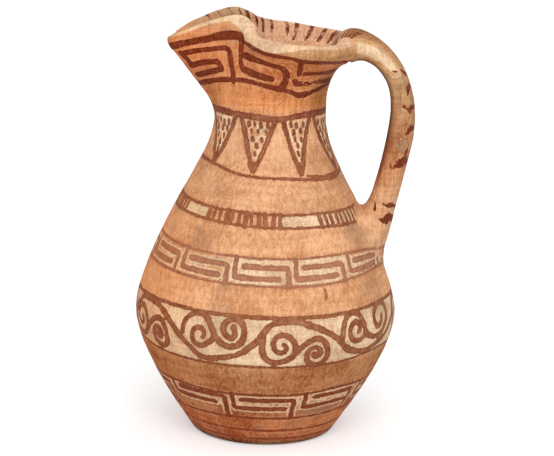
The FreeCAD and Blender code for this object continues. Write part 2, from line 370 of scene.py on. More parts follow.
def rim_points():
    """The pinched rim by its turn: 0 at the handle, 1 at the spout tip, 2 at the handle again."""
    halves = []
    for side in (1, -1):
        pinch = np.array([-pinch_place - side * pinch_skew, side * pinch_half_gap, pinch_height])
        half = []
        for turn, out, aside, rise in back_rim_shares:
            height = rim_height + (pinch_height - rim_height) * rise
            half.append((turn, [back_reach * out, side * lobe_half_width * aside, height]))
        before = np.array(half[-1][1])
        shoulder = before + (pinch - before) * pinch_shoulder_share
        shoulder[2] = pinch_height + (rim_height - pinch_height) * pinch_shoulder_drop_share
        half.append((pinch_shoulder_turn_share, list(shoulder)))
        half.append((pinch_turn_share, list(pinch)))
        for turn, out, aside, down in spout_rim_shares:
            place = pinch[0] + (-spout_reach - pinch[0]) * out
            height = pinch_height + (spout_tip_height - pinch_height) * down
            half.append((turn, [place, side * spout_half_width * aside, height]))
        halves.append(half)
    back = [back_reach, 0, rim_height]
    tip = [-spout_reach, 0, spout_tip_height]
    near = [(2 - turn, point) for turn, point in reversed(halves[1])]
    return [(0.0, back)] + halves[0] + [(1.0, tip)] + near + [(2.0, back)]


def rim_line(turns):
    """The rim at turns, as a smooth closed curve through its points, swayed as the hand left it.

    A sway is a bell round an angle, with its spread in degrees and its rise."""
    stations, points = zip(*rim_points())
    rim = smooth_through(stations, points, turns, cyclic=True)
    for angle, spread, rise in rim_sways:
        rim[:, 2] += rise * np.exp(-(((turns * 180 - angle) / spread) ** 2))
    return rim


def spout_weight(turns):
    """One along the spout and nought beyond the pinches, changing over smoothly between."""
    passed = np.abs(turns - 1) / (1 - pinch_turn_share)
    return 1 - eased(passed, *spout_fade_shares)


def row_shares(poles, places):
    """How much each of a row of cubic poles, held at both ends, counts at each place (0 to 1).

    The shares grow by the rule N(i, k) = rising part of N(i, k - 1) plus falling part of
    N(i + 1, k - 1), starting from steps between knots."""
    spans = poles - 3
    knots = np.concatenate([[0] * 3, np.arange(spans + 1), [spans] * 3]).astype(float)
    spots = np.clip(places * spans, 0, spans - 1e-9)[:, None]
    shares = ((spots >= knots[:-1]) & (spots < knots[1:])).astype(float)
    for degree in (1, 2, 3):
        start, stop = knots[: -degree - 1], knots[degree + 1 :]
        rising = (spots - start) / np.maximum(knots[degree:-1] - start, 1e-9)
        falling = (stop - spots) / np.maximum(stop - knots[1:-degree], 1e-9)
        shares = rising * shares[:, :-1] + falling * shares[:, 1:]
    return shares


def mouth_poles(turns):
    """Columns of poles that run up the outside of the mouth, over the lip and down inside."""
    weight = spout_weight(turns)[:, None]
    top = rim_line(turns)
    along = np.roll(top, -1, axis=0) - np.roll(top, 1, axis=0)
    square = unit(np.stack([along[:, 1], -along[:, 0], 0 * turns], axis=1))
    angle = turns * math.pi
    radial = round_axis(angle, 1.0, 0.0)
    seam_radius = outer_radius(mouth_seam)
    inner_seam = mouth_seam + seam_climb
    root = radial * seam_radius
    flared = top * np.array([1, 1, 0])
    roll = lip_roll + (spout_lip_roll - lip_roll) * weight
    upward = np.array([0, 0, 1.0])
    wall_top = top[:, 2:] - lip_height
    rows = [root + upward * mouth_seam]
    flares = [(up, back + (spout - back) * weight) for up, spout, back in flare_shares]
    for up, flare in flares:
        height = mouth_seam + (wall_top - mouth_seam) * up
        rows.append(root * (1 - flare) + flared * flare + upward * height)
    for out, inward, up, spout_flare in lip_shares:
        flare = 1 + (spout_flare - 1) * weight
        aside = square * (roll * out - wall * inward)
        height = top[:, 2:] + lip_height * up
        rows.append(root * (1 - flare) + flared * flare + aside + upward * height)
    for up, flare in reversed(flares):
        facing = unit(radial * (1 - flare) + square * flare)
        height = inner_seam + (wall_top - inner_seam) * up
        rows.append(root * (1 - flare) + flared * flare - facing * wall + upward * height)
    rows.append(radial * inner_radius(inner_seam) + upward * inner_seam)
    return np.array(rows)


def grid_normals(points, closed=True):
    """Outward directions on a grid: the change along its columns crossed with that along its rows."""
    over = np.roll(points, -1, axis=1) - np.roll(points, 1, axis=1)
    if closed:
        up = np.roll(points, -1, axis=0) - np.roll(points, 1, axis=0)
    else:
        up = np.gradient(points, axis=0)
    return unit(np.cross(over, up))


def mouth_skin():
    """Rows of the mouth from its seam up, over the lip and down inside, with their relief.

    The spout's tip has lost a chip of its lip on the far side."""
    turns = np.arange(mouth_columns) * 2 / mouth_columns
    poles = mouth_poles(turns)
    shares = np.linspace(0, 1, 400)
    fine = np.einsum("rp,pcx->rcx", row_shares(len(poles), shares), poles)
    runs = chord_lengths(fine[:, ::30].reshape(len(shares), -1))
    even = np.interp(np.linspace(0, runs[-1], mouth_rows), runs, shares)
    plain = np.einsum("rp,pcx->rcx", row_shares(len(poles), even), poles)
    lip = eased(plain[..., 2] - plain[..., 2].max(axis=0) + 6.0, 0, 5.0)
    chipped = eased(-chip_place - plain[..., 0], 0, 1.4) * eased(plain[..., 1], -9.0, -1.0)
    plain[..., 2] -= chip_depth * chipped * lip
    normals = grid_normals(plain, closed=False)
    rise = thrown_relief(plain) - 0.35 * pits(plain, 3.1, 0.12, 5)
    rise = rise + lip * (0.25 * cloud(plain, 7.0, 12) - 0.9 * pits(plain, 4.5, 0.16, 10))
    return plain + normals * rise[..., None]


# Putting skins into meshes


def put_in_scene(name, data):
    """A new object with its data, linked into the scene."""
    made = bpy.data.objects.new(name, data)
    bpy.context.scene.collection.objects.link(made)
    return made


def new_piece(name, points, faces, sharp, texture_map, attributes, node, material):
    """A mesh piece in metres that stands for a node, with its map, its values and its finish."""
    mesh = bpy.data.meshes.new(name)
    mesh.from_pydata((points * mm).tolist(), [], faces)
    mesh.update(calc_edges=True)
    mesh.polygons.foreach_set("use_smooth", np.ones(len(mesh.polygons), bool))
    ends = np.zeros(2 * len(mesh.edges), np.int32)
    mesh.edges.foreach_get("vertices", ends)
    first, second = sharp[ends.reshape(-1, 2)].T
    edge_is_sharp = mesh.attributes.new("sharp_edge", "BOOLEAN", "EDGE")
    edge_is_sharp.data.foreach_set("value", (first == second) & (first > 0))
    bake_map = mesh.uv_layers.new(name="OFBake")
    bake_map.data.foreach_set("uv", np.asarray(texture_map, np.float32).ravel())
    for label, values in attributes.items():
        layer = mesh.attributes.new(label, "FLOAT", "POINT")
        layer.data.foreach_set("value", values.astype(np.float32).ravel())
    mesh.materials.append(material)
    piece = put_in_scene(name, mesh)
    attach(piece, "root")
    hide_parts(node)
    return piece


def loop_faces(rows, columns, closed_rows):
    """Four-sided faces between neighbouring rows, and round every row."""
    index = np.arange(rows * columns).reshape(rows, columns)
    beside = np.roll(index, -1, axis=1)
    faces = np.stack([index, beside, np.roll(beside, -1, axis=0), np.roll(index, -1, axis=0)], -1)
    return faces if closed_rows else faces[:-1]


# Each face's corners on its map lie at its column and the next, and at its row and the next
corner_over = np.array([0, 1, 1, 0])
corner_up = np.array([0, 0, 1, 1])
map_margin = 0.005
half_step = 0.37
half_rise = 0.355
strip_start = 0.745
strip_rise = 0.25
cap_rise = 0.05


def map_across(column, columns):
    """A map's places across, for columns or parts of them, inside its margin."""
    return map_margin + (1 - 2 * map_margin) * column / columns


def halved_map(rows, columns, outer_rows):
    """Map corners for a closed skin: the outside in two stacked halves and the rest in a strip."""
    row, column = np.meshgrid(np.arange(rows), np.arange(columns), indexing="ij")
    half = columns // 2
    outside_u = map_across((column % half)[..., None] + corner_over, half)
    climb = (row[..., None] + corner_up) / outer_rows
    outside_v = map_margin + half_step * (column >= half)[..., None] + half_rise * climb
    rest_u = map_across(column[..., None] + corner_over, columns)
    climb = (row[..., None] + corner_up - outer_rows) / (rows - outer_rows)
    rest_v = strip_start + strip_rise * climb
    outside = (row < outer_rows)[..., None]
    return np.stack([np.where(outside, outside_u, rest_u), np.where(outside, outside_v, rest_v)], -1)


def sharp_rings(rows, columns, sharp_rows):
    """A number for each sharp ring's points, and nought for all others."""
    sharp = np.zeros((rows, columns), int)
    for number, row in enumerate(sharp_rows):
        sharp[row] = number + 1
    return sharp.ravel()


def closed_skin(name, rings, outer_rows, sharp_rows, attributes, node, material):
    """A hollow length of wall: rings up the outside and back down the inside, joined end to end."""
    rows, columns = rings.shape[:2]
    faces = loop_faces(rows, columns, True).reshape(-1, 4).tolist()
    texture_map = halved_map(rows, columns, outer_rows)
    points = rings.reshape(-1, 3)
    sharp = sharp_rings(rows, columns, sharp_rows)
    return new_piece(name, points, faces, sharp, texture_map, attributes, node, material)


def capped_skin(name, rings, sharp_rows, attributes, node, material):
    """A solid skin over open rings, closed by a point in the middle of its first and last ring."""
    rows, columns = rings.shape[:2]
    count = rows * columns
    points = np.vstack([rings.reshape(-1, 3), rings[0].mean(0), rings[-1].mean(0)])
    quads = loop_faces(rows, columns, False)
    low = np.stack([quads[0, :, 1], quads[0, :, 0], np.full(columns, count)], -1)
    high = np.stack([quads[-1, :, 3], quads[-1, :, 2], np.full(columns, count + 1)], -1)
    faces = quads.reshape(-1, 4).tolist() + low.tolist() + high.tolist()
    sharp = np.append(sharp_rings(rows, columns, sharp_rows), [0, 0])
    row, column = np.meshgrid(np.arange(rows - 1), np.arange(columns), indexing="ij")
    u = map_across(column[..., None] + corner_over, columns)
    v = cap_rise + (1 - 2 * cap_rise) * (row[..., None] + corner_up) / (rows - 1)
    quad_map = np.stack([u, v], -1).reshape(-1, 2)
    fan = np.arange(columns)[:, None] + np.array([1, 0, 0.5])
    low_v = np.broadcast_to([cap_rise, cap_rise, map_margin], fan.shape)
    low_map = np.stack([map_across(fan, columns), low_v], -1).reshape(-1, 2)
    high_map = np.stack([map_across(fan + [-1, 1, 0], columns), 1 - low_v], -1)
    texture_map = np.vstack([quad_map, low_map, high_map.reshape(-1, 2)])
    padded = {label: np.append(values.ravel(), [values[0, 0], values[-1, 0]])
              for label, values in attributes.items()}
    return new_piece(name, points, faces, sharp, texture_map, padded, node, material)


# The handle


def handle_line():
    """Points down the middle line of the handle, and the run to each of them."""
    rim_place = back_reach - wall / 2
    grip_place = handle_reach - handle_thickness / 2
    root = np.array([outer_radius(handle_root_height), handle_root_height])
    rise = handle_crown - handle_root_height
    tongue_place = back_reach - wall - handle_tongue
    points = [[tongue_place, handle_crown - handle_tongue_drop], [rim_place, handle_crown]]
    for out, up in handle_upper_shares:
        points.append([rim_place + (grip_place - rim_place) * out, root[1] + rise * up])
    for out, up in handle_lower_shares:
        points.append([root[0] + (grip_place - root[0]) * out, root[1] + rise * up])
    down = unit(root - points[-1])
    points = points + [root, root + down * handle_root_depth, root + down * 3 * handle_root_depth]
    return np.array(points), chord_lengths(np.array(points))


line_points, line_runs = handle_line()
handle_run = line_runs[-2]


def handle_middle(run):
    """The middle line at a share of the handle's run, as place and height."""
    return smooth_through(line_runs, line_points, run * handle_run)


def flattened(value):
    """A sine or cosine pushed out toward one, so that an oval gets flatter faces."""
    return np.sign(value) * np.abs(value) ** oval_roundness


def handle_points(run, around):
    """The plain handle: an oval square to its middle line, at a share of the run and an angle.

    The angle is 0 on the far side, 90 degrees on the side of the grip and -90 on the outside."""
    run, around = np.broadcast_arrays(run, around)
    shares, thick, wide = np.array(handle_swell_shares).T
    swell = smooth_through(shares, np.stack([thick, wide], axis=1), np.minimum(run, 1.0))
    middle = handle_middle(run)
    along = unit(handle_middle(run + 0.002) - handle_middle(run - 0.002))
    across = flattened(np.sin(around)) * swell[..., 0] * handle_thickness / 2
    aside = flattened(np.cos(around)) * swell[..., 1] * handle_width / 2
    place = middle[..., 0] + along[..., 1] * across
    height = middle[..., 1] - along[..., 0] * across
    return np.stack([place, aside, height], axis=-1)


def handle_surface(run, around):
    """Points of the handle with what the pulling hand left on it, and their outward directions."""
    small = 0.004
    points = handle_points(run, around)
    over = handle_points(run, around - small) - handle_points(run, around + small)
    onward = handle_points(run + small, around) - handle_points(run - small, around)
    outward = unit(np.cross(over, onward))
    run, around = np.broadcast_arrays(run, around)
    pulled = np.stack([np.cos(around), np.sin(around), 1.6 * run], axis=-1)
    rise = 0.30 * cloud(points, 17, 20) + 0.24 * cloud(pulled, 0.42, 21)
    rise = rise + 0.10 * cloud(points, 5.0, 22) + 0.04 * cloud(points, 1.7, 23)
    return points + outward * rise[..., None], outward


def above_wall(points):
    """How far points stand off the outside wall of the body, square to it."""
    radius = np.hypot(points[..., 0], points[..., 1])
    return (radius - outer_radius(points[..., 2])) * wall_tilt(points[..., 2])[0]


def wall_outward(points):
    """The outward direction of the body's wall nearest to points."""
    radial, upward = wall_tilt(points[..., 2])
    return round_axis(np.arctan2(points[..., 1], points[..., 0]), radial, upward)


def root_rings(around):
    """The run at which the handle starts to spread on the shoulder, and rings of its fillet.

    The fillet is a quarter circle of radius R: with a turn a, its points stand R (1 - sin a) off
    the wall and R (1 - cos a) out from the handle's own side."""
    crook = np.clip(np.sin(around), 0, 1) ** 2
    heel = np.clip(-np.sin(around), 0, 1) ** 2
    reach = root_fillet_side + (root_fillet_crook - root_fillet_side) * crook
    reach = reach + (root_fillet_heel - root_fillet_side) * heel
    runs = np.linspace(0.55, 1.16, 420)
    standing = above_wall(handle_points(runs[:, None], around[None, :]))
    turn = np.linspace(0, math.pi / 2, fillet_rows)
    heights = reach[None, :] * (1 - np.sin(turn))[:, None]
    found = [np.interp(-heights[:, j], -standing[:, j], runs) for j in range(len(around))]
    run = np.array(found).T
    points, outward = handle_surface(run, around[None, :])
    square = wall_outward(points)
    level = unit(outward - (outward * square).sum(-1, keepdims=True) * square)
    spread = points + level * (reach[None, :] * (1 - np.cos(turn))[:, None])[..., None]
    for _ in range(3):
        square = wall_outward(spread)
        spread = spread + square * (heights - above_wall(spread))[..., None]
    return run[0], spread


def flowed(points, outward, others, others_outward, reach):
    """Points raised near another skin, so that the two flow together along a soft valley.

    With k the reach and a a point's height over the other skin, held to k / 4 or more, the rise r
    settles where r = k / 4 (1 - (a - r) / k)², which is k / 4 where the skins cross."""
    tree = KDTree(len(others))
    for number, other in enumerate(others):
        tree.insert(other, number)
    tree.balance()
    found = np.array([tree.find(point)[1] for point in points])
    height = ((points - others[found]) * others_outward[found]).sum(-1)
    apart = np.linalg.norm(points - others[found], axis=-1)
    height = np.clip(np.where(height < 0, height, apart), reach / 4, reach)
    rise = np.zeros(len(points))
    for _ in range(8):
        rise = reach / 4 * np.clip(1 - (height - rise) / reach, 0, 1) ** 2
    return points + outward * rise[:, None]


def handle_rings():
    """Rings of the whole handle, from its tongue inside the mouth to its fillet on the shoulder."""
    around = -even_turns(handle_columns)
    root_run, fillet = root_rings(around)
    share = np.linspace(0, 1, handle_rows)
    run = share[:, None] * root_run[None, :]
    points, outward = handle_surface(run, around[None, :])
    buried = fillet[-1] - wall_outward(fillet[-1]) * 0.6
    rings = np.vstack([points, fillet[1:], buried[None]])
    first = handle_rows - root_settling_rows
    for _ in range(8):
        rings[first:-2] = (rings[first - 1 : -3] + 2 * rings[first:-2] + rings[first + 1 : -1]) / 4
    return rings, outward


def joined_at_rim(mouth, rings, outward):
    """The mouth and the handle's rings, smoothed into each other where they cross.

    Only the mouth's points beyond a place, within a half width and above a height take part."""
    count = int(handle_rows * rim_melt_run_share)
    place, half_width, height = rim_melt_room
    mouth_outward = grid_normals(mouth, closed=False)
    near = (mouth[..., 0] > place) & (np.abs(mouth[..., 1]) < half_width) & (mouth[..., 2] > height)
    top = rings[:count].reshape(-1, 3)
    top_outward = outward[:count].reshape(-1, 3)
    flowed_mouth = mouth.copy()
    flowed_mouth[near] = flowed(mouth[near], mouth_outward[near], top, top_outward, rim_melt_reach)
    flowed_top = flowed(top, top_outward, mouth[near], mouth_outward[near], rim_melt_reach)
    rings[:count] = flowed_top.reshape(count, -1, 3)
    return flowed_mouth, rings


# Brushwork

far_from_paint = 9.0
reach_of_strokes = 2.6
paint_seed = np.random.default_rng(23)


def distance_to_strokes(points, strokes):
    """Millimetres from each point to the edge of the nearest stroke, negative inside it.

    A stroke is a run of straight pieces with a half width at each joint. The distance is that to
    the nearest spot on a piece, less the half width there."""
    distance = np.full(len(points), far_from_paint)
    runs = [
        (line[start : start + 25], half_widths[start : start + 25])
        for line, half_widths in strokes
        for start in range(0, len(line) - 1, 24)
    ]
    for line, half_widths in runs:
        reach = reach_of_strokes + half_widths.max()
        low = line.min(0) - reach
        high = line.max(0) + reach
        near = np.flatnonzero(((points > low) & (points < high)).all(axis=1))
        if not len(near):
            continue
        along = np.diff(line, axis=0)
        from_start = points[near][:, None, :] - line[None, :-1, :]
        share = (from_start * along).sum(-1) / np.maximum((along**2).sum(-1), 1e-9)
        share = np.clip(share, 0, 1)
        off = np.linalg.norm(from_start - share[..., None] * along, axis=-1)
        half = half_widths[:-1] + share * np.diff(half_widths)
        distance[near] = np.minimum(distance[near], (off - half).min(axis=1))
    return distance


def on_wall(angles, heights):
    """Points of the outside wall at angles in degrees and heights."""
    return round_axis(np.radians(angles), outer_radius(heights), heights)


def brush(path, width, place=on_wall, wobble=0.12):
    """A stroke along a path of angles and heights, laid on a surface in short straight pieces.

    Its width is one value or one for each spot of the path, and swells and thins slowly along it,
    as a loaded brush does."""
    path = np.asarray(path, float)
    rough = chord_lengths(place(path[:, 0], path[:, 1]))
    steps = max(2, int(rough[-1] / 1.1) + 2)
    spots = np.linspace(0, rough[-1], steps)
    angles = np.interp(spots, rough, path[:, 0])
    heights = np.interp(spots, rough, path[:, 1])
    line = place(angles, heights)
    width = np.interp(spots, rough, np.broadcast_to(width, len(path)))
    phase = paint_seed.random() * 6.3
    pressure = 1 + wobble * np.sin(spots / 5.0 + phase) + wobble * 0.6 * np.sin(spots / 2.3)
    return line, pressure * width / 2


def ring_height(stations, angles):
    """The height of a line that a brush drew round the turning jug, at angles in degrees."""
    turned, heights = zip(*stations)
    closed_at = turned[0] + 360
    return smooth_through(turned + (closed_at,), heights + (heights[0],), angles, cyclic=True)[..., 0]


def distance_to_ring(points, stations, width):
    """Millimetres from points to the edge of a line drawn round the jug, negative inside it."""
    angles = around_axis(points)
    off = points[:, 2] - ring_height(stations, angles)
    swell = 1 + 0.22 * cloud(points, 14, 30)
    return np.abs(off) / np.maximum(wall_tilt(points[:, 2])[0], 0.3) - width * swell / 2


def distance_to_band(points, low_line, high_line, start=None, stop=None):
    """Millimetres outside a painted panel between two drawn lines, negative inside it."""
    angles = around_axis(points)
    tilt = np.maximum(wall_tilt(points[:, 2])[0], 0.3)
    above = (points[:, 2] - ring_height(high_line, angles)) / tilt
    below = (ring_height(low_line, angles) - points[:, 2]) / tilt
    distance = np.maximum(above, below)
    if start is not None:
        middle = (start + stop) / 2
        aside = np.abs(np.mod(angles - middle + 180, 360) - 180) - (stop - start) / 2
        distance = np.maximum(distance, np.radians(aside) * np.hypot(points[:, 0], points[:, 1]))
    return distance


# Heights of the drawn lines, by angle
neck_line = ((-165, 182.2), (-120, 181.8), (-97, 181.0), (-75, 180.3), (-55, 181.6), (-20, 182.2),
             (40, 181.2), (100, 182.0), (150, 181.4))
throat_line = ((-165, 155.0), (-135, 154.0), (-105, 150.5), (-75, 149.5), (-45, 148.0),
               (-25, 147.6), (20, 151.0), (80, 150.0), (140, 153.5))
tick_top = ((-165, 135.0), (-135, 133.5), (-105, 132.5), (-75, 131.5), (-45, 131.2), (-15, 131.0),
            (30, 132.0), (80, 133.0), (140, 134.5))
tick_foot = ((-165, 128.5), (-135, 127.5), (-105, 126.0), (-75, 125.0), (-45, 124.5), (-15, 123.5),
             (30, 124.5), (80, 126.0), (140, 128.0))
key_top = ((-160, 113.0), (-135, 111.5), (-105, 110.5), (-70, 109.7), (-45, 110.0), (-15, 108.5),
           (0, 107.0), (40, 108.5), (90, 111.0), (150, 112.5))
key_foot = ((-150, 99.0), (-120, 97.3), (-90, 96.3), (-60, 96.0), (-45, 96.7), (-15, 98.7),
            (30, 97.5), (90, 97.0), (150, 98.5))
scroll_top = ((-150, 82.0), (-120, 81.3), (-85, 80.3), (-60, 80.0), (-30, 81.3), (-15, 82.0),
              (40, 81.0), (100, 80.5), (160, 81.5))
scroll_foot = ((-150, 55.8), (-135, 54.2), (-105, 53.0), (-60, 53.0), (-45, 53.7), (-30, 55.3),
               (20, 54.0), (80, 53.0), (150, 55.0))
low_key_top = ((-146, 36.7), (-129, 36.4), (-110, 35.0), (-88, 35.0), (-63, 35.1), (-47, 36.5),
               (-30, 36.4), (40, 35.4), (100, 36.0), (160, 36.6))
low_key_foot = ((-135, 19.6), (-90, 19.5), (-60, 19.3), (-30, 20.2), (60, 19.6), (150, 19.8))
low_wash_foot = ((-146, 29.2), (-125, 28.6), (-108, 27.0), (-98, 25.8), (-72, 26.0), (-64, 24.8),
                 (-50, 25.6), (-31, 27.6), (60, 26.4), (150, 26.8))
foot_lines = (((-140, 11.2), (-60, 10.6), (60, 11.4)), ((-140, 5.4), (-60, 4.8), (60, 5.4)))


def hanging_triangles():
    """Outlined triangles that hang from the neck line, filled with rows of dots, and their cream.

    Each is its left and right corner, its tip and the tip's height."""
    seen = [(-163, -119, -138, 154.0), (-116, -75, -97, 151.8), (-73, -37.5, -56.5, 150.8),
            (-36, 6, -11, 149.5)]
    count = 5
    step = (197.0 - 8.0) / count
    hidden = [(8 + step * i, 6 + step * (i + 1), 27 + step * i, 152.0) for i in range(count)]
    top = 180.0
    first_row = 176.8
    row_drop = 3.7
    dot_pitch = 3.4
    strokes = []
    cream = []
    for left, right, tip, tip_height in seen + hidden:
        inner_left = left + 2.6
        inner_right = right - 2.6
        for corner, aside in ((inner_left, -0.5), (inner_right, 0.5)):
            strokes.append(brush([(corner, top), (tip + aside, tip_height + 1.0)], 2.6, wobble=0.08))
        strokes.append(brush([(tip, tip_height + 5.0), (tip, tip_height + 1.5)], (3.0, 1.6)))
        for row in range(-1, 6):
            height = first_row - row_drop * row
            share = (height - tip_height) / (top - tip_height)
            start = tip + (inner_left - tip) * share
            stop = tip + (inner_right - tip) * share
            radius = float(outer_radius(height))
            room = math.radians(stop - start) * radius - 3.2
            middle = (start + stop) / 2
            half = math.degrees(max(room, 0.1) / radius) / 2
            cream.append(brush([(middle - half, height), (middle + half, height)], 4.4, wobble=0))
            dots = int(room / dot_pitch) if row >= 0 else 0
            for dot in range(dots):
                offset = ((dot + 0.5) / dots - 0.5) * room + 0.3 * paint_seed.normal()
                angle = middle + math.degrees(offset / radius)
                shift = 0.25 * paint_seed.normal()
                ends = [(angle, height + shift + 0.8), (angle + 0.5, height + shift - 0.8)]
                strokes.append(brush(ends, 1.8 + 0.2 * paint_seed.normal(), wobble=0))
    return strokes, cream


def ticks():
    """Short upright strokes between the two lines of the shoulder band, in runs with gaps."""
    runs = ((-172, -146, 4.3), (-123, -76, 4.27), (-50, -13, 4.4), (14, 58, 4.4), (82, 128, 4.2),
            (152, 184, 4.0))
    strokes = []
    for start, stop, step in runs:
        for angle in np.arange(start, stop + 0.1, step):
            angle = angle + paint_seed.normal() * 0.3
            top = float(ring_height(tick_top, angle))
            foot = float(ring_height(tick_foot, angle))
            lean = paint_seed.normal() * 0.3
            width = 2.0 + 0.2 * paint_seed.normal()
            strokes.append(brush([(angle + lean, top), (angle - lean, foot)], width))
    return strokes


def key_unit(start, top_line, foot_line, rows, runs, widths):
    """One unit of a key pattern: a hook hanging from the top line and one standing on the foot.

    Rows are shares of the band's height, of the lower and the upper bar. Runs are degrees: where
    the lower bar ends, and where the upper one starts and stops. Widths are those of the upright
    strokes and of the bars."""
    low_share, high_share = rows
    low_stop, high_start, high_stop = runs
    upright, bar = widths

    def spot(angle, share):
        """A spot at a share of the way from the foot line to the top line."""
        foot = float(ring_height(foot_line, angle))
        top = float(ring_height(top_line, angle))
        return (angle, foot + (top - foot) * share)

    lean = paint_seed.normal() * 0.25
    hook = [spot(start + lean, 1.0), spot(start, low_share + 0.03), spot(start + 1, low_share),
            spot(start + low_stop, low_share)]
    crook = [spot(start + high_start, high_share), spot(start + high_stop - 1, high_share),
             spot(start + high_stop, high_share - 0.03), spot(start + high_stop + lean, 0.0)]
    hook_widths = (upright, upright, bar, bar)
    return [brush(hook, hook_widths, wobble=0.07), brush(crook, hook_widths[::-1], wobble=0.07)]


def key_bands():
    """The key pattern on the shoulder and the larger, flatter one near the foot."""
    shoulder_starts = [-130, -99.5, -69, -37.5] + [-37.5 + 236.5 * i / 8 for i in range(1, 9)]
    shoulder = []
    for start in shoulder_starts:
        shoulder += key_unit(start, key_top, key_foot, (0.27, 0.68), (22, 4.5, 26.5), (2.5, 2.9))
    low_units = [(-138, (0.56, 0.85), (27, 5.5, 33.5)), (-100, (0.42, 0.78), (28.5, 4.5, 33)),
                 (-61, (0.43, 0.80), (29, 5.5, 32))]
    low_units += [(-22 + 244.0 * i / 6, (0.43, 0.79), (29, 5, 34)) for i in range(6)]
    low = []
    for start, rows, runs in low_units:
        low += key_unit(start, low_key_top, low_key_foot, rows, runs, (2.5, 3.1))
    return shoulder, low


# The scroll. Its bends are degrees. Its stem goes from bend to bend by shares of the way and heights
# in millimetres. It comes down from the high arch by a path of its own that stays higher for longer
scroll_tops = (-146, -72.5, 4, 74, 144)
scroll_feet = (-109, -31, 39, 109, 179)
wide_bays = (-31, 109)
high_arch = -146
stem_down = ((0, 78.7), (0.14, 77.7), (0.22, 75.9), (0.30, 74.5), (0.37, 72.3), (0.45, 70.2),
             (0.54, 66.4), (0.60, 63.3), (0.70, 59.3), (0.85, 56.6))
high_stem_down = ((0, 78.7), (0.14, 78.2), (0.22, 77.4), (0.30, 76.3), (0.37, 74.4), (0.45, 71.8),
                  (0.54, 68.6), (0.60, 66.3), (0.70, 62.4), (0.78, 59.6), (0.85, 57.0))
stem_up = ((0, 55.6), (0.16, 56.8), (0.27, 58.1), (0.38, 59.9), (0.48, 62.9), (0.55, 65.7),
           (0.62, 69.0), (0.68, 72.8), (0.75, 76.6), (0.84, 78.1))
stem_width = 3.4

# Its curls, as spots in millimetres across and up the wall: a pair for each cup of the stem and a
# pair for each arch
cup_curls = (
    (((-20.5, 0.5), (-20.5, 3), (-19.6, 6), (-17.6, 8.8), (-14.5, 11), (-10.5, 12), (-7, 11.4),
      (-4.8, 9.2), (-3.2, 6.4), (-1.8, 3.6), (-0.7, 0.6), (-1.8, -1.2), (-4.5, -3.2), (-8, -5.4),
      (-11, -5.2), (-13.4, -3.6), (-14.3, -0.8), (-13.5, 2.4), (-10.8, 4.3), (-7.9, 3.8),
      (-6.8, 1.6), (-7.8, -0.6)), (2.4, 2.8, 3.2, 3.2, 2.8, 2.6, 2.2)),
    (((-0.7, 0.6), (2.3, -2.2), (5.6, -3.9), (9.3, -4.1), (12.5, -2.8), (14.9, 0), (15.8, 3.8),
      (14.9, 7.8), (12.5, 10.3), (9.3, 10.9), (6.4, 9.9), (4.5, 7.6), (4.1, 4.9), (5.1, 2.7),
      (7, 1.1), (8.7, 0.3), (10.3, 1.7), (10.7, 4.1), (9.6, 6.6)), (3.2, 3.2, 3.0, 2.8, 3.0)),
)
wide_curls = (
    (((-25.3, -5.5), (-25.5, -3.2), (-24.8, 2.6), (-22.4, 8.0), (-17.2, 10.6), (-12.8, 8.9),
      (-10.2, 4.4), (-8.7, 0), (-10.6, -4.7), (-15.9, -5.2), (-19.9, -1.6), (-19.6, 3.4), (-15.7, 5.3),
      (-12.9, 2.6), (-14.2, -0.4)), (3.0, 3.2, 3.2, 3.0, 2.8, 2.8, 2.6)),
    (((-8.7, 0), (-7.0, -2.4), (-3.4, -4.6), (3, -6.1), (9.0, -4.5), (12.6, 0), (14.2, 5.8),
      (10.9, 10.9), (4.9, 11.3), (0.5, 7.7), (0.3, 2.9), (3.6, -0.6), (7.2, 1.1), (8.0, 4.8)),
     (3.0, 3.2, 3.0, 2.8, 2.6)),
)
arch_curls = (
    (((-22.6, 6.5), (-23.5, 2.5), (-23.6, -1.4), (-22.7, -5.2), (-20.2, -8.4), (-16.9, -9.9),
      (-12.6, -9.6), (-8.8, -8.2), (-6.2, -5.8), (-5.3, -2.6), (-6.2, 1.2), (-8.8, 4.4), (-12, 5.8),
      (-15.1, 5.3), (-17.2, 3.2), (-17.8, 0.3), (-16.5, -2.6), (-13.9, -4.2), (-11.3, -3.5),
      (-10.5, -1.4), (-11.9, 0.2)), (2.4, 3.0, 3.2, 3.0, 2.8, 2.6, 2.4)),
    (((-5.6, -5.4), (-2.4, -1.7), (0.8, 0.8), (4, 2.5), (7.4, 2.8), (10.6, 1.2), (12.8, -2.2),
      (13.3, -6.4), (12.2, -9.9), (9.4, -11.9), (5.6, -12), (2.4, -10.3), (1.3, -7.2), (2.2, -4),
      (4.4, -2.2), (7.2, -2.4), (8.9, -4.8), (8, -7), (5.9, -7.1), (5.1, -5.7)),
     (3.0, 3.2, 3.0, 2.8, 2.8)),
)


# Where a pair of curls starts: degrees past the bend of its bay, and its height
cup_seat = (4.0, 68.0)
wide_seat = (3.0, 68.0)
arch_seat = (6.5, 66.0)
high_arch_seat = (4.2, 67.8)
hidden_squeeze = 0.93
curl_swell = 1.06
scroll_mean_height = 66.8


def scroll_drift(angles):
    """How far the scroll's band lies above its mean height at angles in degrees."""
    middle = (ring_height(scroll_top, angles) + ring_height(scroll_foot, angles)) / 2
    return middle - scroll_mean_height


def curl(path, widths, angle, height, squeeze):
    """A stroke through spots in millimetres across and up the wall, from an angle and a height."""
    runs = chord_lengths(np.array(path, float))
    spots = np.linspace(0, runs[-1], 64)
    across, up = smooth_through(runs, path, spots).T
    heights = height + float(scroll_drift(np.array(angle))) + up * wall_tilt(height)[0]
    angles = angle + np.degrees(across * squeeze / outer_radius(heights))
    width = curl_swell * np.interp(spots, np.linspace(0, runs[-1], len(widths)), widths)
    return brush(np.stack([angles, heights], axis=1), width, wobble=0.05)


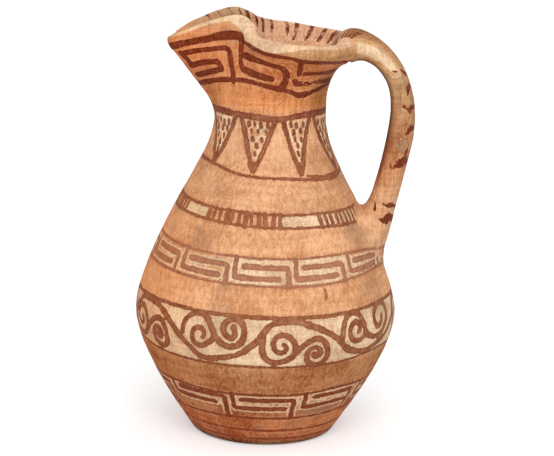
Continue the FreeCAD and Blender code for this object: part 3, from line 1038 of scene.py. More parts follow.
def scroll():
    """The running scroll: one waving stem, with a pair of linked curls in each of its bays."""
    bends = [(angle, high_stem_down if angle == high_arch else stem_down) for angle in scroll_tops]
    bends += [(angle, stem_up) for angle in scroll_feet]
    bends.sort(key=lambda bend: bend[0])
    stations = []
    for (angle, steps), (after, _) in zip(bends, bends[1:] + [(bends[0][0] + 360, None)]):
        stations += [(angle + (after - angle) * share, height) for share, height in steps]
    angles = np.linspace(stations[0][0], stations[0][0] + 360, 900)
    heights = ring_height(tuple(stations), angles) + scroll_drift(angles)
    strokes = [brush(np.stack([angles, heights], axis=1), stem_width, wobble=0.08)]
    bays = [(angle, cup_seat, cup_curls) for angle in scroll_feet if angle not in wide_bays]
    bays += [(angle, wide_seat, wide_curls) for angle in wide_bays]
    bays += [(angle, arch_seat, arch_curls) for angle in scroll_tops if angle != high_arch]
    bays.append((high_arch, high_arch_seat, arch_curls))
    for angle, (shift, height), curls in bays:
        squeeze = 1.0 if angle < 0 else hidden_squeeze
        for path, widths in curls:
            strokes.append(curl(path, widths, angle + shift, height, squeeze))
    return strokes


def body_paint(points):
    """The paint's and the cream panels' distances at points of the body and the neck."""
    restart = brush([(-51.4, 150.4), (-42.7, 149.0), (-30.7, 147.9), (-15.9, 148.6), (-11, 150.0)],
                    (1.2, 2.2, 3.0, 3.2, 2.4))
    shoulder_key, low_key = key_bands()
    triangles, triangle_cream = hanging_triangles()
    strokes = triangles + ticks() + shoulder_key + low_key + scroll() + [restart]
    paint = distance_to_strokes(points, strokes)
    lines = ((neck_line, 3.6), (throat_line, 1.4), (tick_top, 1.3), (tick_foot, 1.4),
             (key_top, 1.2), (key_foot, 1.2), (scroll_top, 1.8), (scroll_foot, 1.3),
             (low_key_top, 1.3), (low_key_foot, 1.3), (foot_lines[0], 1.5), (foot_lines[1], 1.4))
    for stations, width in lines:
        paint = np.minimum(paint, distance_to_ring(points, stations, width))
    outlined = distance_to_strokes(points, shoulder_key) - 1.0
    cream = np.maximum(outlined, distance_to_band(points, key_foot, key_top))
    cream = np.minimum(cream, distance_to_band(points, scroll_foot, scroll_top))
    outlined = distance_to_strokes(points, low_key) - 1.2
    outlined = np.maximum(outlined, distance_to_band(points, low_key_foot, low_key_top) + 1.5)
    wash = np.maximum(distance_to_band(points, low_wash_foot, low_key_top), 0.12)
    cream = np.minimum(cream, np.minimum(outlined, wash))
    worn = np.maximum(distance_to_strokes(points, triangle_cream) + 0.3, 0.1)
    cream = np.minimum(cream, worn)
    for start, stop in ((-99, -40), (90, 152)):
        cream = np.minimum(cream, distance_to_band(points, key_foot, key_top, start, stop))
    for start, stop in ((-146, -125), (-78, -13), (60, 82), (130, 151)):
        cream = np.minimum(cream, distance_to_band(points, tick_foot, tick_top, start, stop))
    return paint, cream


def unrolled(angles, heights):
    """The neck's points laid flat, at angles in degrees and heights."""
    return np.stack([np.radians(angles) * neck_radius, heights, 0 * heights], axis=-1)


def neck_crack(points):
    """How deep a fine crack under the mouth's paint is, from 0 to 1."""
    path = ((-67.6, 192.6), (-70.7, 190.9), (-73.7, 189.2), (-76.7, 187.1), (-78.4, 185.3))
    flat = unrolled(around_axis(points), points[:, 2])
    return 0.5 * eased(-distance_to_strokes(flat, [brush(path, 0.5, unrolled)]), -0.3, 0.1)


def neck_shade_and_grime(points):
    """Where the neck is darker under the mouth, on both sides: bells round it, painted shade with grime."""
    angles = around_axis(points)
    band = eased(points[:, 2], 178, 188) * (1 - eased(points[:, 2], 200, 212))
    darkened = 0.0
    for middle, spread, share in ((-26, 20, 0.65), (-152, 16, 0.3), (26, 20, 0.4), (152, 16, 0.3)):
        darkened = darkened + share * np.exp(-(((angles - middle) / spread) ** 2))
    return band * darkened


def root_light_and_blotch(points, root):
    """How far the clay round the handle's root is painted paler, from 0 to 1: painted light against the
    shade where the handle meets the shoulder, with a pink blotch.
    """
    return 0.5 * (1 - eased(np.linalg.norm(points - root, axis=-1), 10, 32))


# The painted mouth: columns in degrees and heights, over the near half and mirrored to the far one
spout_corner = ((-178, 212.6), (-170, 214.8), (-163, 216.6), (-153, 219.3), (-143, 221.3),
                (-137, 223.0), (-130, 224.0), (-125, 223.8), (-122.3, 221.0), (-121.4, 215.0),
                (-119.5, 209.8), (-116, 206.6), (-108, 205.6), (-100, 204.5), (-92, 203.4),
                (-84, 202.6))
spout_corner_widths = (2.6, 4.2, 4.2, 4.0, 4.4, 4.8, 5.0, 4.6, 3.4, 3.2, 3.3, 3.6, 4.0, 4.2, 4.2, 3.6)
lip_band = ((-125, 223.6), (-119, 221.4), (-111, 221.0), (-104, 220.2), (-97.5, 218.7), (-91, 217.4),
            (-84, 216.5), (-76, 215.8), (-71, 215.4), (-66, 214.2), (-58, 213.4), (-50, 213.1),
            (-38, 212.5), (-25, 210.8), (-12, 210.2))
lip_band_widths = (3.4, 3.0, 2.7, 2.6, 2.7, 2.8, 3.0, 2.8, 2.6, 3.6, 4.2, 4.4, 3.8, 3.6, 3.4)
mouth_foot_line = ((-180, 193.8), (-170, 194.8), (-160, 196.3), (-151, 197.7), (-141, 199.1),
                   (-126, 199.9), (-114, 200.5), (-103, 200.0), (-93, 199.1), (-83, 197.8),
                   (-74, 196.7), (-65, 195.4), (-56, 193.4), (-48, 193.5), (-37, 195.2),
                   (-20, 197.0), (-5, 197.4))
mouth_foot_widths = (2.4, 2.7, 2.9, 2.9, 2.9, 2.7, 2.4, 2.3, 2.4, 2.6, 3.8, 2.4, 3.2, 3.6, 2.8, 2.6, 2.6)
mouth_strokes = (
    (spout_corner, spout_corner_widths),
    (lip_band, lip_band_widths),
    (mouth_foot_line, mouth_foot_widths),
    (((-164, 211.9), (-156, 213.5), (-149, 214.9), (-140, 215.9), (-133.6, 216.9), (-131.2, 215.6),
      (-130.3, 212.0), (-129.2, 207.5), (-127, 202.7), (-126.2, 199.0)),
     (3.1, 2.9, 2.9, 2.8, 3.0, 3.0, 2.7, 2.8, 3.0, 3.2)),
    (((-164, 211.9), (-161.5, 208.7), (-161.3, 205.6)), (3.6, 3.1, 2.7)),
    (((-162, 205.5), (-150, 208.2), (-139.6, 209.0), (-137.6, 207.0), (-136.6, 205.0),
      (-149, 202.7), (-161, 200.4)), (3.3, 3.3, 3.4, 2.4, 3.3, 3.4, 3.2)),
    (((-113.6, 213.8), (-102, 212.9), (-93, 212.0), (-84, 210.6), (-75.5, 209.0), (-71.8, 206.4),
      (-70.9, 203.2), (-71.5, 200.6), (-73.4, 197.3)),
     (3.8, 4.0, 3.8, 3.8, 3.8, 3.4, 3.4, 3.8, 4.4)),
    (((-63.4, 212.6), (-61.6, 208.6), (-60.4, 205.4)), (2.8, 3.4, 2.6)),
    (((-56, 205.9), (-46.5, 205.9), (-37, 205.7), (-23, 205.4), (-8, 205.2)), 3.1),
    (((-63.2, 202.0), (-59.5, 199.8), (-52, 199.9), (-45, 200.1), (-37, 200.4), (-22, 200.0),
      (-8, 199.9)), (2.6, 3.4, 3.1, 3.0, 3.0, 2.8, 2.8)),
)
bare_dots = ((-55, 200.3), (-51, 199.4), (-47, 200.6), (-43.5, 199.6), (-39, 200.7), (-34, 199.9))

# How far down the outside of the lip its cream, the part of it that stays bright above the tan of painted
# shade and wear, and the pink of the inside reach, in millimetres, by degrees from the handle
lip_cream = ((0, 13.0), (12, 12.0), (27, 9.5), (45, 8.0), (66, 7.5), (92, 6.3), (104, 7.5),
             (112, 9.5), (120, 11.0), (126, 7.0), (131, 3.2), (140, 2.4), (180, 2.2))
lip_bright = ((0, 0.6), (20, 1.2), (58, 1.3), (66, 2.0), (76, 4.2), (84, 6.0), (92, 20.0),
              (156, 20.0), (167, 0.8), (180, 0.3))
lip_pink = ((0, 3.0), (29, 2.2), (45, 1.4), (54, 0.9), (66, 0.6), (87, 0.5), (116, 0.1))

# The ticks down the inside of the lip: their column, the shift of their foot and its depth
spout_ticks = ((146, -3, 2.6), (139, -2, 3.0), (133, -3, 3.0), (127, -2, 4.0))
lip_ticks = ((121.5, -1.5, 6.6), (114, -1.5, 7.5), (106.5, 0, 7.6), (100.5, 0, 7.0), (90.5, -0.5, 7.2),
             (80.3, 1.6, 8.4), (66.5, 3.0, 7.4), (55.5, 3.5, 6.6), (43.5, 5.0, 6.6))
hatch_ticks = ((38, 6.5, 5.6), (34.5, 6.5, 6.2), (31, 6.5, 6.4), (27.5, 6.5, 6.4), (24, 6.5, 6.4),
               (20.5, 6.5, 6.4), (17, 6.5, 6.4))
near_tick_drop = 2.2
mouth_stroke_share = 0.93


def on_skin(rows):
    """A way to find points on a skin's rows, which climb, at columns in degrees and heights."""
    columns = rows.shape[1]

    def place(angles, heights):
        """Points between the two nearest columns."""
        found = []
        for spot, height in zip(np.mod(angles / 360 * columns, columns), heights):
            column = int(spot)
            share = spot - column
            profile = rows[:, column] * (1 - share) + rows[:, (column + 1) % columns] * share
            climb = np.maximum.accumulate(profile[:, 2])
            found.append([np.interp(height, climb, profile[:, axis]) for axis in range(3)])
        return np.array(found)

    return place


def mouth_brushwork(skin, crest, columns):
    """The distance to the mouth's paint: the pattern outside, and the ticks down the inside."""
    outside = on_skin(skin[: crest + 1])
    inside = on_skin(skin[crest:][::-1])
    outer = []
    inner = []
    for side in (1, -1):
        drop = 0 if side > 0 else near_tick_drop
        for path, widths in mouth_strokes:
            path = np.array(path) * np.array([side, 1])
            outer.append(brush(path, mouth_stroke_share * np.array(widths), outside, 0.06))
        for marks, widths in ((spout_ticks, (0.7, 0.3)), (lip_ticks, (2.1, 1.4)), (hatch_ticks, 0.5)):
            for angle, shift, depth in marks:
                angle, shift = side * angle, side * shift
                top = float(np.interp(angle % 360, columns, skin[crest, :, 2])) - drop
                inner.append(brush([(angle, top), (angle + shift, top - depth)], widths, inside))
    dots = [brush([(side * angle, height), (side * angle + 1.2, height)], 1.1, outside)
            for side in (1, -1) for angle, height in bare_dots]
    points = skin[: crest + 1].reshape(-1, 3)
    drawn = np.maximum(distance_to_strokes(points, outer), -distance_to_strokes(points, dots))
    paint = np.full(skin.shape[:2], far_from_paint)
    paint[: crest + 1] = drawn.reshape(crest + 1, -1)
    within = slice(crest - 3, len(skin))
    faint = np.maximum(distance_to_strokes(skin[within].reshape(-1, 3), inner), 0.02)
    paint[within] = np.minimum(paint[within], faint.reshape(paint[within].shape))
    return paint


def mouth_paint(skin, crest):
    """The paint's and the cream slip's distances over the mouth, whose lip peaks at a row.

    The other values are how far the pale slip of the inside covers it and how much darker the inside of the
    spout is near its lip."""
    columns = np.arange(mouth_columns) * 360 / mouth_columns
    paint = mouth_brushwork(skin, crest, columns)
    turned = np.abs(np.mod(columns + 180, 360) - 180)
    depth = skin[crest, :, 2] - skin[..., 2]
    row = np.arange(len(skin))[:, None]
    inside = row > crest
    deep, bright, folded = (np.interp(turned, *np.array(way).T) for way in (lip_cream, lip_bright, lip_pink))
    # Below the bright part the lip's cream stays close to its edge, where it takes the tan of painted shade
    # and wear
    kept = eased(bright - depth, -0.5, 1.0)
    cream = np.maximum((depth - deep) * (1 + 3 * kept), -1.3 - 7.0 * kept)
    cream = np.where(row <= crest + 3, cream, far_from_paint)
    over = (1 - eased(depth, folded - 0.4, folded + 0.4)) * (1 - eased(turned, 100, 116))
    slip = np.where(inside, 1 - eased(depth, 13, 22), over)
    spout = eased(turned, 112, 124)
    cream = np.where(inside & (spout > 0.5), depth - 7.0, cream)
    shallow = 1 - eased(depth, 5, 9)
    slip = slip * (1 - 0.75 * spout * shallow)
    darkened = np.where(inside, 0.5 * spout * shallow, 0)
    return paint, cream, slip, darkened


# The dabs on the handle's back, which bars cross: for the near half of each, the turn round the
# handle in degrees, the share of its run and the width at each spot
handle_bars = (
    ((-126, 0.316, 1.6), (-112, 0.330, 2.6), (-90, 0.336, 2.2)),
    ((-141, 0.412, 1.4), (-134, 0.390, 2.6), (-118, 0.378, 2.4), (-90, 0.376, 2.2)),
    ((-172, 0.470, 1.0), (-155, 0.472, 1.4), (-140, 0.474, 2.2), (-128, 0.456, 2.4), (-90, 0.452, 2.2)),
    ((-147, 0.566, 1.4), (-138, 0.548, 2.8), (-128, 0.532, 2.8), (-90, 0.528, 2.4)),
    ((-174, 0.736, 1.2), (-165, 0.716, 2.4), (-152, 0.692, 4.4), (-140, 0.676, 5.0), (-126, 0.662, 3.8),
     (-90, 0.656, 3.0)),
    ((-178, 0.905, 0.9), (-165, 0.893, 1.6), (-149, 0.872, 3.0), (-135, 0.858, 1.8), (-116, 0.850, 2.2),
     (-90, 0.846, 2.2)),
    ((-171, 0.966, 0.8), (-161, 0.955, 1.6), (-151, 0.940, 3.2), (-141, 0.922, 5.4), (-127, 0.902, 4.6),
     (-90, 0.896, 3.4)),
)
handle_marks = (
    ((-170, 0.318, 0.6), (-158, 0.321, 0.8)),
    ((150, 0.957, 0.4), (160, 0.972, 0.9)),
    ((168, 0.746, 1.2), (173, 0.752, 1.2)),
    ((-130, 0.598, 1.0), (-134, 0.652, 1.8)),
)
hatch_starts = tuple(0.020 + 0.0118 * line for line in range(8))
worn_patch = ((-178, 0.085, 6.0), (-179, 0.125, 9.0), (180, 0.165, 11.5), (-175, 0.22, 12.0),
              (-165, 0.28, 10.5), (-160, 0.32, 7.0))


def on_strap(rings):
    """A way to find points on the handle's rings, at turns in degrees and shares of its run."""

    def place(turns, shares):
        """Points between the two nearest columns and the two nearest rings."""
        row = np.asarray(shares) * (handle_rows - 1)
        column = -np.asarray(turns, float) / 360 * handle_columns
        first_row, first_column = np.floor(row).astype(int), np.floor(column).astype(int)
        over, up = (column - first_column)[:, None], (row - first_row)[:, None]
        here, beside = first_column % handle_columns, (first_column + 1) % handle_columns
        low = rings[first_row, here] * (1 - over) + rings[first_row, beside] * over
        high = rings[first_row + 1, here] * (1 - over) + rings[first_row + 1, beside] * over
        return low * (1 - up) + high * up

    return place


def handle_paint(rings):
    """The paint's and the worn slip's distances over the handle, its pale slip, and its painted shade on the
    side toward the body.
    """
    place = on_strap(rings)
    around = -even_turns(handle_columns)
    strokes = []
    for bar in handle_bars:
        near = np.array(bar)
        far = near[-2::-1] * [-1, 1, 1] - [180, 0, 0]
        path = np.vstack([near, far])
        strokes.append(brush(path[:, :2], path[:, 2], place, 0.08))
    for mark in handle_marks:
        path = np.array(mark)
        strokes.append(brush(path[:, :2], path[:, 2], place, 0.1))
    for start in hatch_starts:
        for side in (1, -1):
            ends = np.array([(-172, start), (-118, start + 0.036)])
            if side < 0:
                ends[:, 0] = -180 - ends[:, 0]
            strokes.append(brush(ends, (0.6, 0.7), place, 0.1))
    shape = rings.shape[:2]
    points = rings.reshape(-1, 3)
    paint = distance_to_strokes(points, strokes).reshape(shape)
    path = np.array(worn_patch)
    path[:, 0] = np.where(path[:, 0] > 0, path[:, 0] - 360, path[:, 0])
    far = path * [-1, 1, 1] - [180, 0, 0]
    worn = [brush(side[:, :2], side[:, 2], place, 0.05) for side in (path, far)]
    cream = distance_to_strokes(points, worn).reshape(shape)
    share = np.linspace(0, 1, handle_rows)
    slip = np.zeros(shape)
    slip[:handle_rows] = (1 - eased(share, 0.075, 0.105))[:, None]
    # Painted shade: the handle's side toward the body is darker, less so near the root and on the fillet
    turn = np.degrees(np.arctan2(np.sin(around), np.cos(around)))
    shade_and_grime = np.broadcast_to(1 - eased(np.abs(turn - 90), 12, 66), shape).copy()
    shade_and_grime[:handle_rows] *= (1 - 0.8 * eased(share, 0.86, 0.99))[:, None]
    shade_and_grime[handle_rows:] *= 0.2
    return paint, cream, slip, shade_and_grime


# Finishes


def chart(red, green, blue):
    """A colour written as on a colour chart, 0 to 255, in the renderer's own even scale."""
    shares = np.array([red, green, blue]) / 255
    even = np.where(shares <= 0.04045, shares / 12.92, ((shares + 0.055) / 1.055) ** 2.4)
    return (*even.tolist(), 1.0)


def give(tree, node, inputs):
    """The node, with each input given a value or wired to another node."""
    for label, value in inputs.items():
        if isinstance(value, bpy.types.NodeSocket):
            tree.links.new(value, node.inputs[label])
        else:
            node.inputs[label].default_value = value
    return node


def add(tree, kind, inputs=None, **settings):
    """A new node with its settings and inputs."""
    made = tree.nodes.new("ShaderNode" + kind)
    for name, value in settings.items():
        setattr(made, name, value)
    return give(tree, made, inputs or {})


def sum_of(tree, operation, first, second):
    """One sum on two values."""
    return add(tree, "Math", {0: first, 1: second}, operation=operation).outputs[0]


def times(tree, first, second):
    """Two values multiplied."""
    return sum_of(tree, "MULTIPLY", first, second)


def plus(tree, first, second):
    """Two values added."""
    return sum_of(tree, "ADD", first, second)


def between(tree, value, low, high, start=0.0, stop=1.0):
    """A value turned into start at low and stop at high, with soft ends."""
    inputs = {0: value, 1: low, 2: high, 3: start, 4: stop}
    return add(tree, "MapRange", inputs, interpolation_type="SMOOTHSTEP").outputs[0]


def stretched(tree, place, x, y, z):
    """Places squeezed or stretched along each axis."""
    return add(tree, "VectorMath", {0: place, 1: (x, y, z)}, operation="MULTIPLY").outputs[0]


def specked(tree, place, size, detail=2.0, rough=0.5):
    """A cloud whose swells are about one size across, in millimetres."""
    inputs = {"Vector": place, "Scale": 1 / (size * mm), "Detail": detail, "Roughness": rough}
    return add(tree, "TexNoise", inputs).outputs["Fac"]


def mixed(tree, share, first, second, blend_type="MIX"):
    """One colour laid over another by a share."""
    inputs = {0: share, 6: first, 7: second}
    return add(tree, "Mix", inputs, data_type="RGBA", blend_type=blend_type).outputs[2]


def new_effect(name, inputs, outputs):
    """An empty node group with named inputs and outputs, and its two end nodes."""
    tree = bpy.data.node_groups.new(name, "ShaderNodeTree")
    for label, kind, value in inputs:
        socket = tree.interface.new_socket(label, in_out="INPUT", socket_type="NodeSocket" + kind)
        if value is not None:
            socket.default_value = value
    for label, kind in outputs:
        tree.interface.new_socket(label, in_out="OUTPUT", socket_type="NodeSocket" + kind)
    start = tree.nodes.new("NodeGroupInput")
    end = tree.nodes.new("NodeGroupOutput")
    return tree, start.outputs, end


def finish_effect(tree, end, results):
    """The group, with results wired to its named outputs."""
    give(tree, end, results)
    return tree


def use(tree, effect, inputs):
    """A placed effect, with its own values."""
    placed = tree.nodes.new("ShaderNodeGroup")
    placed.node_tree = effect
    return give(tree, placed, inputs).outputs


def fired_clay_effect():
    """Mottled fired clay: kiln clouds, smoothing streaks up the wall, wheel lines and grain."""
    tree, given, end = new_effect(
        "fired clay",
        [("Place", "Vector", None), ("Tone", "Color", None)],
        [("Colour", "Color"), ("Height", "Float")],
    )
    place = given["Place"]
    kiln = specked(tree, place, 34, 3.0, 0.55)
    patches = specked(tree, place, 9, 3.0, 0.6)
    streaks = specked(tree, stretched(tree, place, 1, 1, 0.12), 1.6, 3.0, 0.6)
    wheel = specked(tree, stretched(tree, place, 0.06, 0.06, 1), 2.6, 3.0, 0.6)
    grain = specked(tree, place, 0.8, 2.0, 0.7)
    lift = between(tree, kiln, 0.3, 0.7, -0.34, 0.34)
    small = between(tree, patches, 0.25, 0.75, -0.20, 0.20)
    for swells, strength in ((streaks, 0.40), (wheel, 0.26), (grain, 0.44)):
        small = plus(tree, small, between(tree, swells, 0.25, 0.75, -strength, strength))
    light = plus(tree, lift, small)
    dark = mixed(tree, 1.0, given["Tone"], chart(204, 184, 166), "MULTIPLY")
    pale = mixed(tree, 0.30, given["Tone"], chart(255, 208, 156))
    share = between(tree, light, -0.9, 0.9)
    colour = mixed(tree, share, dark, pale)
    height = plus(tree, times(tree, grain, 0.5), times(tree, streaks, 0.5))
    return finish_effect(tree, end, {"Colour": colour, "Height": height})


def brush_effect():
    """Where a brush left paint: a soft, uneven edge round the drawn line, thin inside, pooled at
    the edge and flaked where it was dry, with a faint stain round it."""
    tree, given, end = new_effect(
        "brush edge",
        [("Place", "Vector", None), ("Distance", "Float", 9.0), ("Ragged", "Float", 1.0),
         ("Wear", "Float", 0.5)],
        [("Cover", "Float"), ("Thin", "Float"), ("Stain", "Float")],
    )
    place = given["Place"]
    fine = between(tree, specked(tree, place, 1.0, 2.0, 0.6), 0.2, 0.8, -0.26, 0.26)
    slow = between(tree, specked(tree, place, 3.4, 1.0, 0.5), 0.2, 0.8, -0.32, 0.32)
    shift = times(tree, plus(tree, fine, slow), given["Ragged"])
    edge = plus(tree, given["Distance"], shift)
    cover = between(tree, edge, -0.08, 0.38, 1.0, 0.0)
    dry = specked(tree, stretched(tree, place, 1, 1, 0.55), 1.5, 3.0, 0.65)
    flaked = times(tree, between(tree, dry, 0.52, 0.72), given["Wear"])
    pooled = between(tree, edge, -1.0, -0.3, 0.0, 0.55)
    thin = between(tree, specked(tree, place, 5.0, 5.0, 0.75), 0.3, 0.7)
    thin = times(tree, thin, sum_of(tree, "SUBTRACT", 1.0, pooled))
    cover = times(tree, cover, sum_of(tree, "SUBTRACT", 1.0, flaked))
    stain = between(tree, edge, 0.2, 1.7, 1.0, 0.0)
    return finish_effect(tree, end, {"Cover": cover, "Thin": thin, "Stain": stain})


def age_effect():
    """What lay in the ground leaves behind: pale lime specks, dark pits and grey clouds."""
    tree, given, end = new_effect(
        "age",
        [("Place", "Vector", None)],
        [("Specks", "Float"), ("Pits", "Float"), ("Grey", "Float")],
    )
    place = given["Place"]
    specks = between(tree, specked(tree, place, 1.5, 2.0, 0.6), 0.665, 0.73)
    where = between(tree, specked(tree, place, 20, 2.0, 0.5), 0.45, 0.6, 0.25, 1.0)
    specks = times(tree, specks, where)
    turned = add(tree, "VectorMath", {0: place, 1: (0.31, 0.17, 0.23)}, operation="ADD").outputs[0]
    pitted = between(tree, specked(tree, turned, 1.2, 2.0, 0.6), 0.69, 0.75)
    grey = between(tree, specked(tree, turned, 22, 3.0, 0.6), 0.54, 0.70)
    return finish_effect(tree, end, {"Specks": specks, "Pits": pitted, "Grey": grey})


fired_clay = fired_clay_effect()
brush_edge = brush_effect()
age = age_effect()

# The ground's colour by height: orange at the neck, buff over the body, brown toward the foot, where the
# clay is darker and the downward-facing wall also gets painted shade, and darkest at the foot's edge: wear
# with a painted shadow line
ground_tones = (
    (0.0, (88, 38, 22)),
    (1.8, (128, 58, 32)),
    (4.5, (182, 88, 46)),
    (9.0, (206, 104, 48)),
    (17.0, (204, 104, 46)),
    (21.0, (178, 90, 46)),
    (30.0, (182, 100, 54)),
    (38.0, (186, 110, 58)),
    (51.0, (188, 116, 66)),
    (57.0, (224, 152, 102)),
    (82.0, (250, 186, 138)),
    (116.0, (248, 186, 140)),
    (133.0, (244, 186, 142)),
    (178.0, (242, 185, 142)),
    (187.0, (238, 146, 82)),
    (198.0, (228, 138, 78)),
    (214.0, (228, 132, 76)),
    (232.0, (224, 150, 104)),
)
# The paint's colour by height, and where it is thin: red near the foot, dark at the mouth
paint_tones = (
    (0.0, (150, 66, 34)),
    (12.0, (150, 68, 36)),
    (20.0, (130, 58, 24)),
    (38.0, (122, 56, 24)),
    (53.0, (134, 70, 36)),
    (82.0, (138, 76, 42)),
    (97.0, (168, 110, 78)),
    (111.0, (168, 110, 78)),
    (124.0, (144, 80, 46)),
    (150.0, (140, 76, 44)),
    (178.0, (128, 64, 36)),
    (184.0, (126, 58, 38)),
    (192.0, (112, 43, 16)),
    (232.0, (108, 41, 14)),
)
thin_tones = (
    (0.0, (168, 86, 50)),
    (40.0, (160, 90, 54)),
    (56.0, (190, 130, 92)),
    (97.0, (206, 148, 112)),
    (180.0, (192, 132, 96)),
    (192.0, (150, 72, 40)),
    (232.0, (156, 76, 44)),
)
# The same for the handle, whose foot joins the body's tones and whose paint is darker above, and
# then the handle's ground
handle_paint_tones = ((97.0, (168, 110, 78)), (110.0, (168, 110, 78)), (118.0, (110, 44, 20)),
                      (232.0, (108, 41, 14)))
handle_thin_tones = ((97.0, (206, 148, 112)), (110.0, (206, 148, 112)), (118.0, (148, 78, 46)),
                     (232.0, (152, 74, 42)))
handle_tones = (
    (96.0, (248, 186, 140)),
    (124.0, (246, 182, 126)),
    (138.0, (228, 162, 114)),
    (150.0, (214, 140, 92)),
    (172.0, (190, 130, 88)),
    (186.0, (184, 134, 94)),
    (203.0, (190, 148, 106)),
    (211.0, (200, 150, 104)),
    (219.0, (192, 136, 92)),
    (224.0, (166, 104, 68)),
    (228.0, (156, 94, 60)),
)
full_height = 240.0
cream_slip = chart(255, 236, 204)
worn_slip = chart(253, 221, 184)
low_slip = chart(242, 176, 134)
tan_shade_and_wear = chart(214, 164, 114)
pink_slip_and_root_light = chart(255, 212, 180)
purple_paint = chart(122, 52, 50)
stain = chart(226, 150, 116)
spout_side = chart(255, 230, 212)
lime = chart(246, 226, 198)
soot = chart(150, 132, 112)
shade_and_grime_tint = chart(172, 150, 120)
hollow_dark = chart(84, 48, 34)


def tone_ramp(tree, height, tones):
    """Colours by height, blended between their places."""
    ramp = add(tree, "ValToRGB", {0: height})
    band = ramp.color_ramp
    band.elements[0].position = tones[0][0] / full_height
    band.elements[0].color = chart(*tones[0][1])
    band.elements[1].position = tones[-1][0] / full_height
    band.elements[1].color = chart(*tones[-1][1])
    for place, colour in tones[1:-1]:
        band.elements.new(place / full_height).color = chart(*colour)
    return ramp.outputs[0]


def new_finish(name):
    """An empty material, its node tree and its shader."""
    finish = bpy.data.materials.new(name)
    finish.use_nodes = True
    tree = finish.node_tree
    shader = tree.nodes["Principled BSDF"]
    return finish, tree, shader


def read_value(tree, label):
    """A value that the piece carries at its points."""
    return add(tree, "Attribute", attribute_name=label).outputs["Fac"]


def clay_finish(name, tones, inks, thin_inks, ragged):
    """Fired clay with cream slip and brushwork, aged in the ground, in tones that go by height."""
    finish, tree, shader = new_finish(name)
    place = add(tree, "TexCoord").outputs["Object"]
    across, _, height = add(tree, "SeparateXYZ", {0: place}).outputs
    share = sum_of(tree, "DIVIDE", height, full_height * mm)
    ground = tone_ramp(tree, share, tones)
    frayed = between(tree, height, 196 * mm, 206 * mm, ragged, 0.55)
    paint = use(tree, brush_edge, {"Place": place, "Distance": read_value(tree, "paint"),
                                   "Ragged": frayed, "Wear": 0.3})
    ground = mixed(tree, times(tree, paint["Stain"], 0.3), ground, stain)
    cream_edge = read_value(tree, "cream")
    slip = use(tree, brush_edge, {"Place": place, "Distance": cream_edge, "Ragged": 1.0, "Wear": 0.5})
    slip_colour = mixed(tree, slip["Thin"], cream_slip, worn_slip)
    # Painted shade with wear: above 200 mm the cream turns tan near its edge, which on the lip lies under
    # the roll
    lip_shade_and_wear = times(tree, between(tree, cream_edge, -3.6, -1.4),
                   between(tree, height, 200 * mm, 206 * mm))
    slip_colour = mixed(tree, lip_shade_and_wear, slip_colour, tan_shade_and_wear)
    low = between(tree, height, 36 * mm, 52 * mm, 0.4, 0.0)
    slip_colour = mixed(tree, low, slip_colour, low_slip)
    ground = mixed(tree, times(tree, slip["Cover"], 0.95), ground, slip_colour)
    # Pale pink slip inside the mouth and over the lip; round the handle's root the same pink is painted
    # light
    pink = times(tree, read_value(tree, "slip"), 0.9)
    ground = mixed(tree, pink, ground, pink_slip_and_root_light)
    clay = use(tree, fired_clay, {"Place": place, "Tone": ground})
    years = use(tree, age, {"Place": place})
    ground = mixed(tree, times(tree, years["Grey"], 0.34), clay["Colour"], soot)
    hue = between(tree, specked(tree, place, 26, 2.0, 0.5), 0.42, 0.62, 0.0, 0.3)
    ink = mixed(tree, hue, tone_ramp(tree, share, inks), purple_paint)
    thin = mixed(tree, 0.55, ink, tone_ramp(tree, share, thin_inks))
    colour = mixed(tree, paint["Thin"], ink, thin)
    colour = mixed(tree, paint["Cover"], ground, colour)
    leftward = between(tree, across, -62 * mm, -14 * mm, 1.0, 0.0)
    colour = mixed(tree, leftward, colour, spout_side, "MULTIPLY")
    # Painted shade with grime: darker under the mouth and on the handle's side toward the body; also darker
    # inside the spout near its lip
    colour = mixed(tree, read_value(tree, "shade_and_grime"), colour, shade_and_grime_tint, "MULTIPLY")
    showing = between(tree, paint["Cover"], 0.0, 1.0, 0.6, 0.2)
    colour = mixed(tree, times(tree, years["Specks"], showing), colour, lime)
    colour = mixed(tree, times(tree, years["Pits"], 0.55), colour, hollow_dark)
    cut = between(tree, read_value(tree, "gouged"), 0.15, 0.7)
    colour = mixed(tree, times(tree, cut, 0.6), colour, hollow_dark)
    rough = between(tree, paint["Cover"], 0.0, 1.0, 0.82, 0.62)
    relief = plus(tree, clay["Height"], times(tree, paint["Cover"], 0.35))
    relief = sum_of(tree, "SUBTRACT", relief, years["Pits"])
    bump = add(tree, "Bump", {"Strength": 0.55, "Distance": 0.25 * mm, "Height": relief})
    give(tree, shader, {"Base Color": colour, "Roughness": rough, "Normal": bump.outputs[0],
                        "Specular IOR Level": 0.05})
    return finish


# The pieces


def wall_rings(low, high, rows):
    """Rings up the outside between two seams and back down the inside between the same seams."""
    outer = outer_skin(heights_between(low, high, rows), columns_round)
    climb = np.linspace(high + seam_climb, low + seam_climb, inner_rows)
    return np.concatenate([outer, inner_skin(climb, columns_round)])


under_shares = (0.02, 0.3, 0.6, 0.85, 0.96)
floor_shares = (1.0, 0.97, 0.85, 0.65, 0.45, 0.25, 0.02)
foot_edge_rows = 16


def foot_rings():
    """Rings of the base disc: its underside, its rounded edge, its seam and the jug's floor."""
    angle = even_turns(columns_round)
    edge = float(outer_radius(0.0)) - base_edge_round
    under = [round_axis(angle, edge * share, 0.0) for share in under_shares]
    climb = base_seam * np.linspace(0, 1, foot_edge_rows) ** 1.6
    side = outer_skin(climb, columns_round)
    floor_edge = float(inner_radius(floor_thickness))
    floor = [round_axis(angle, floor_edge * share, floor_thickness) for share in floor_shares]
    return np.concatenate([np.array(under), side, np.array(floor)])


def bare_values(rings):
    """The values of a skin without paint or slip."""
    values = {label: np.full(rings.shape[:2], far_from_paint) for label in ("paint", "cream")}
    for label in ("slip", "gouged", "shade_and_grime"):
        values[label] = np.zeros(rings.shape[:2])
    return values


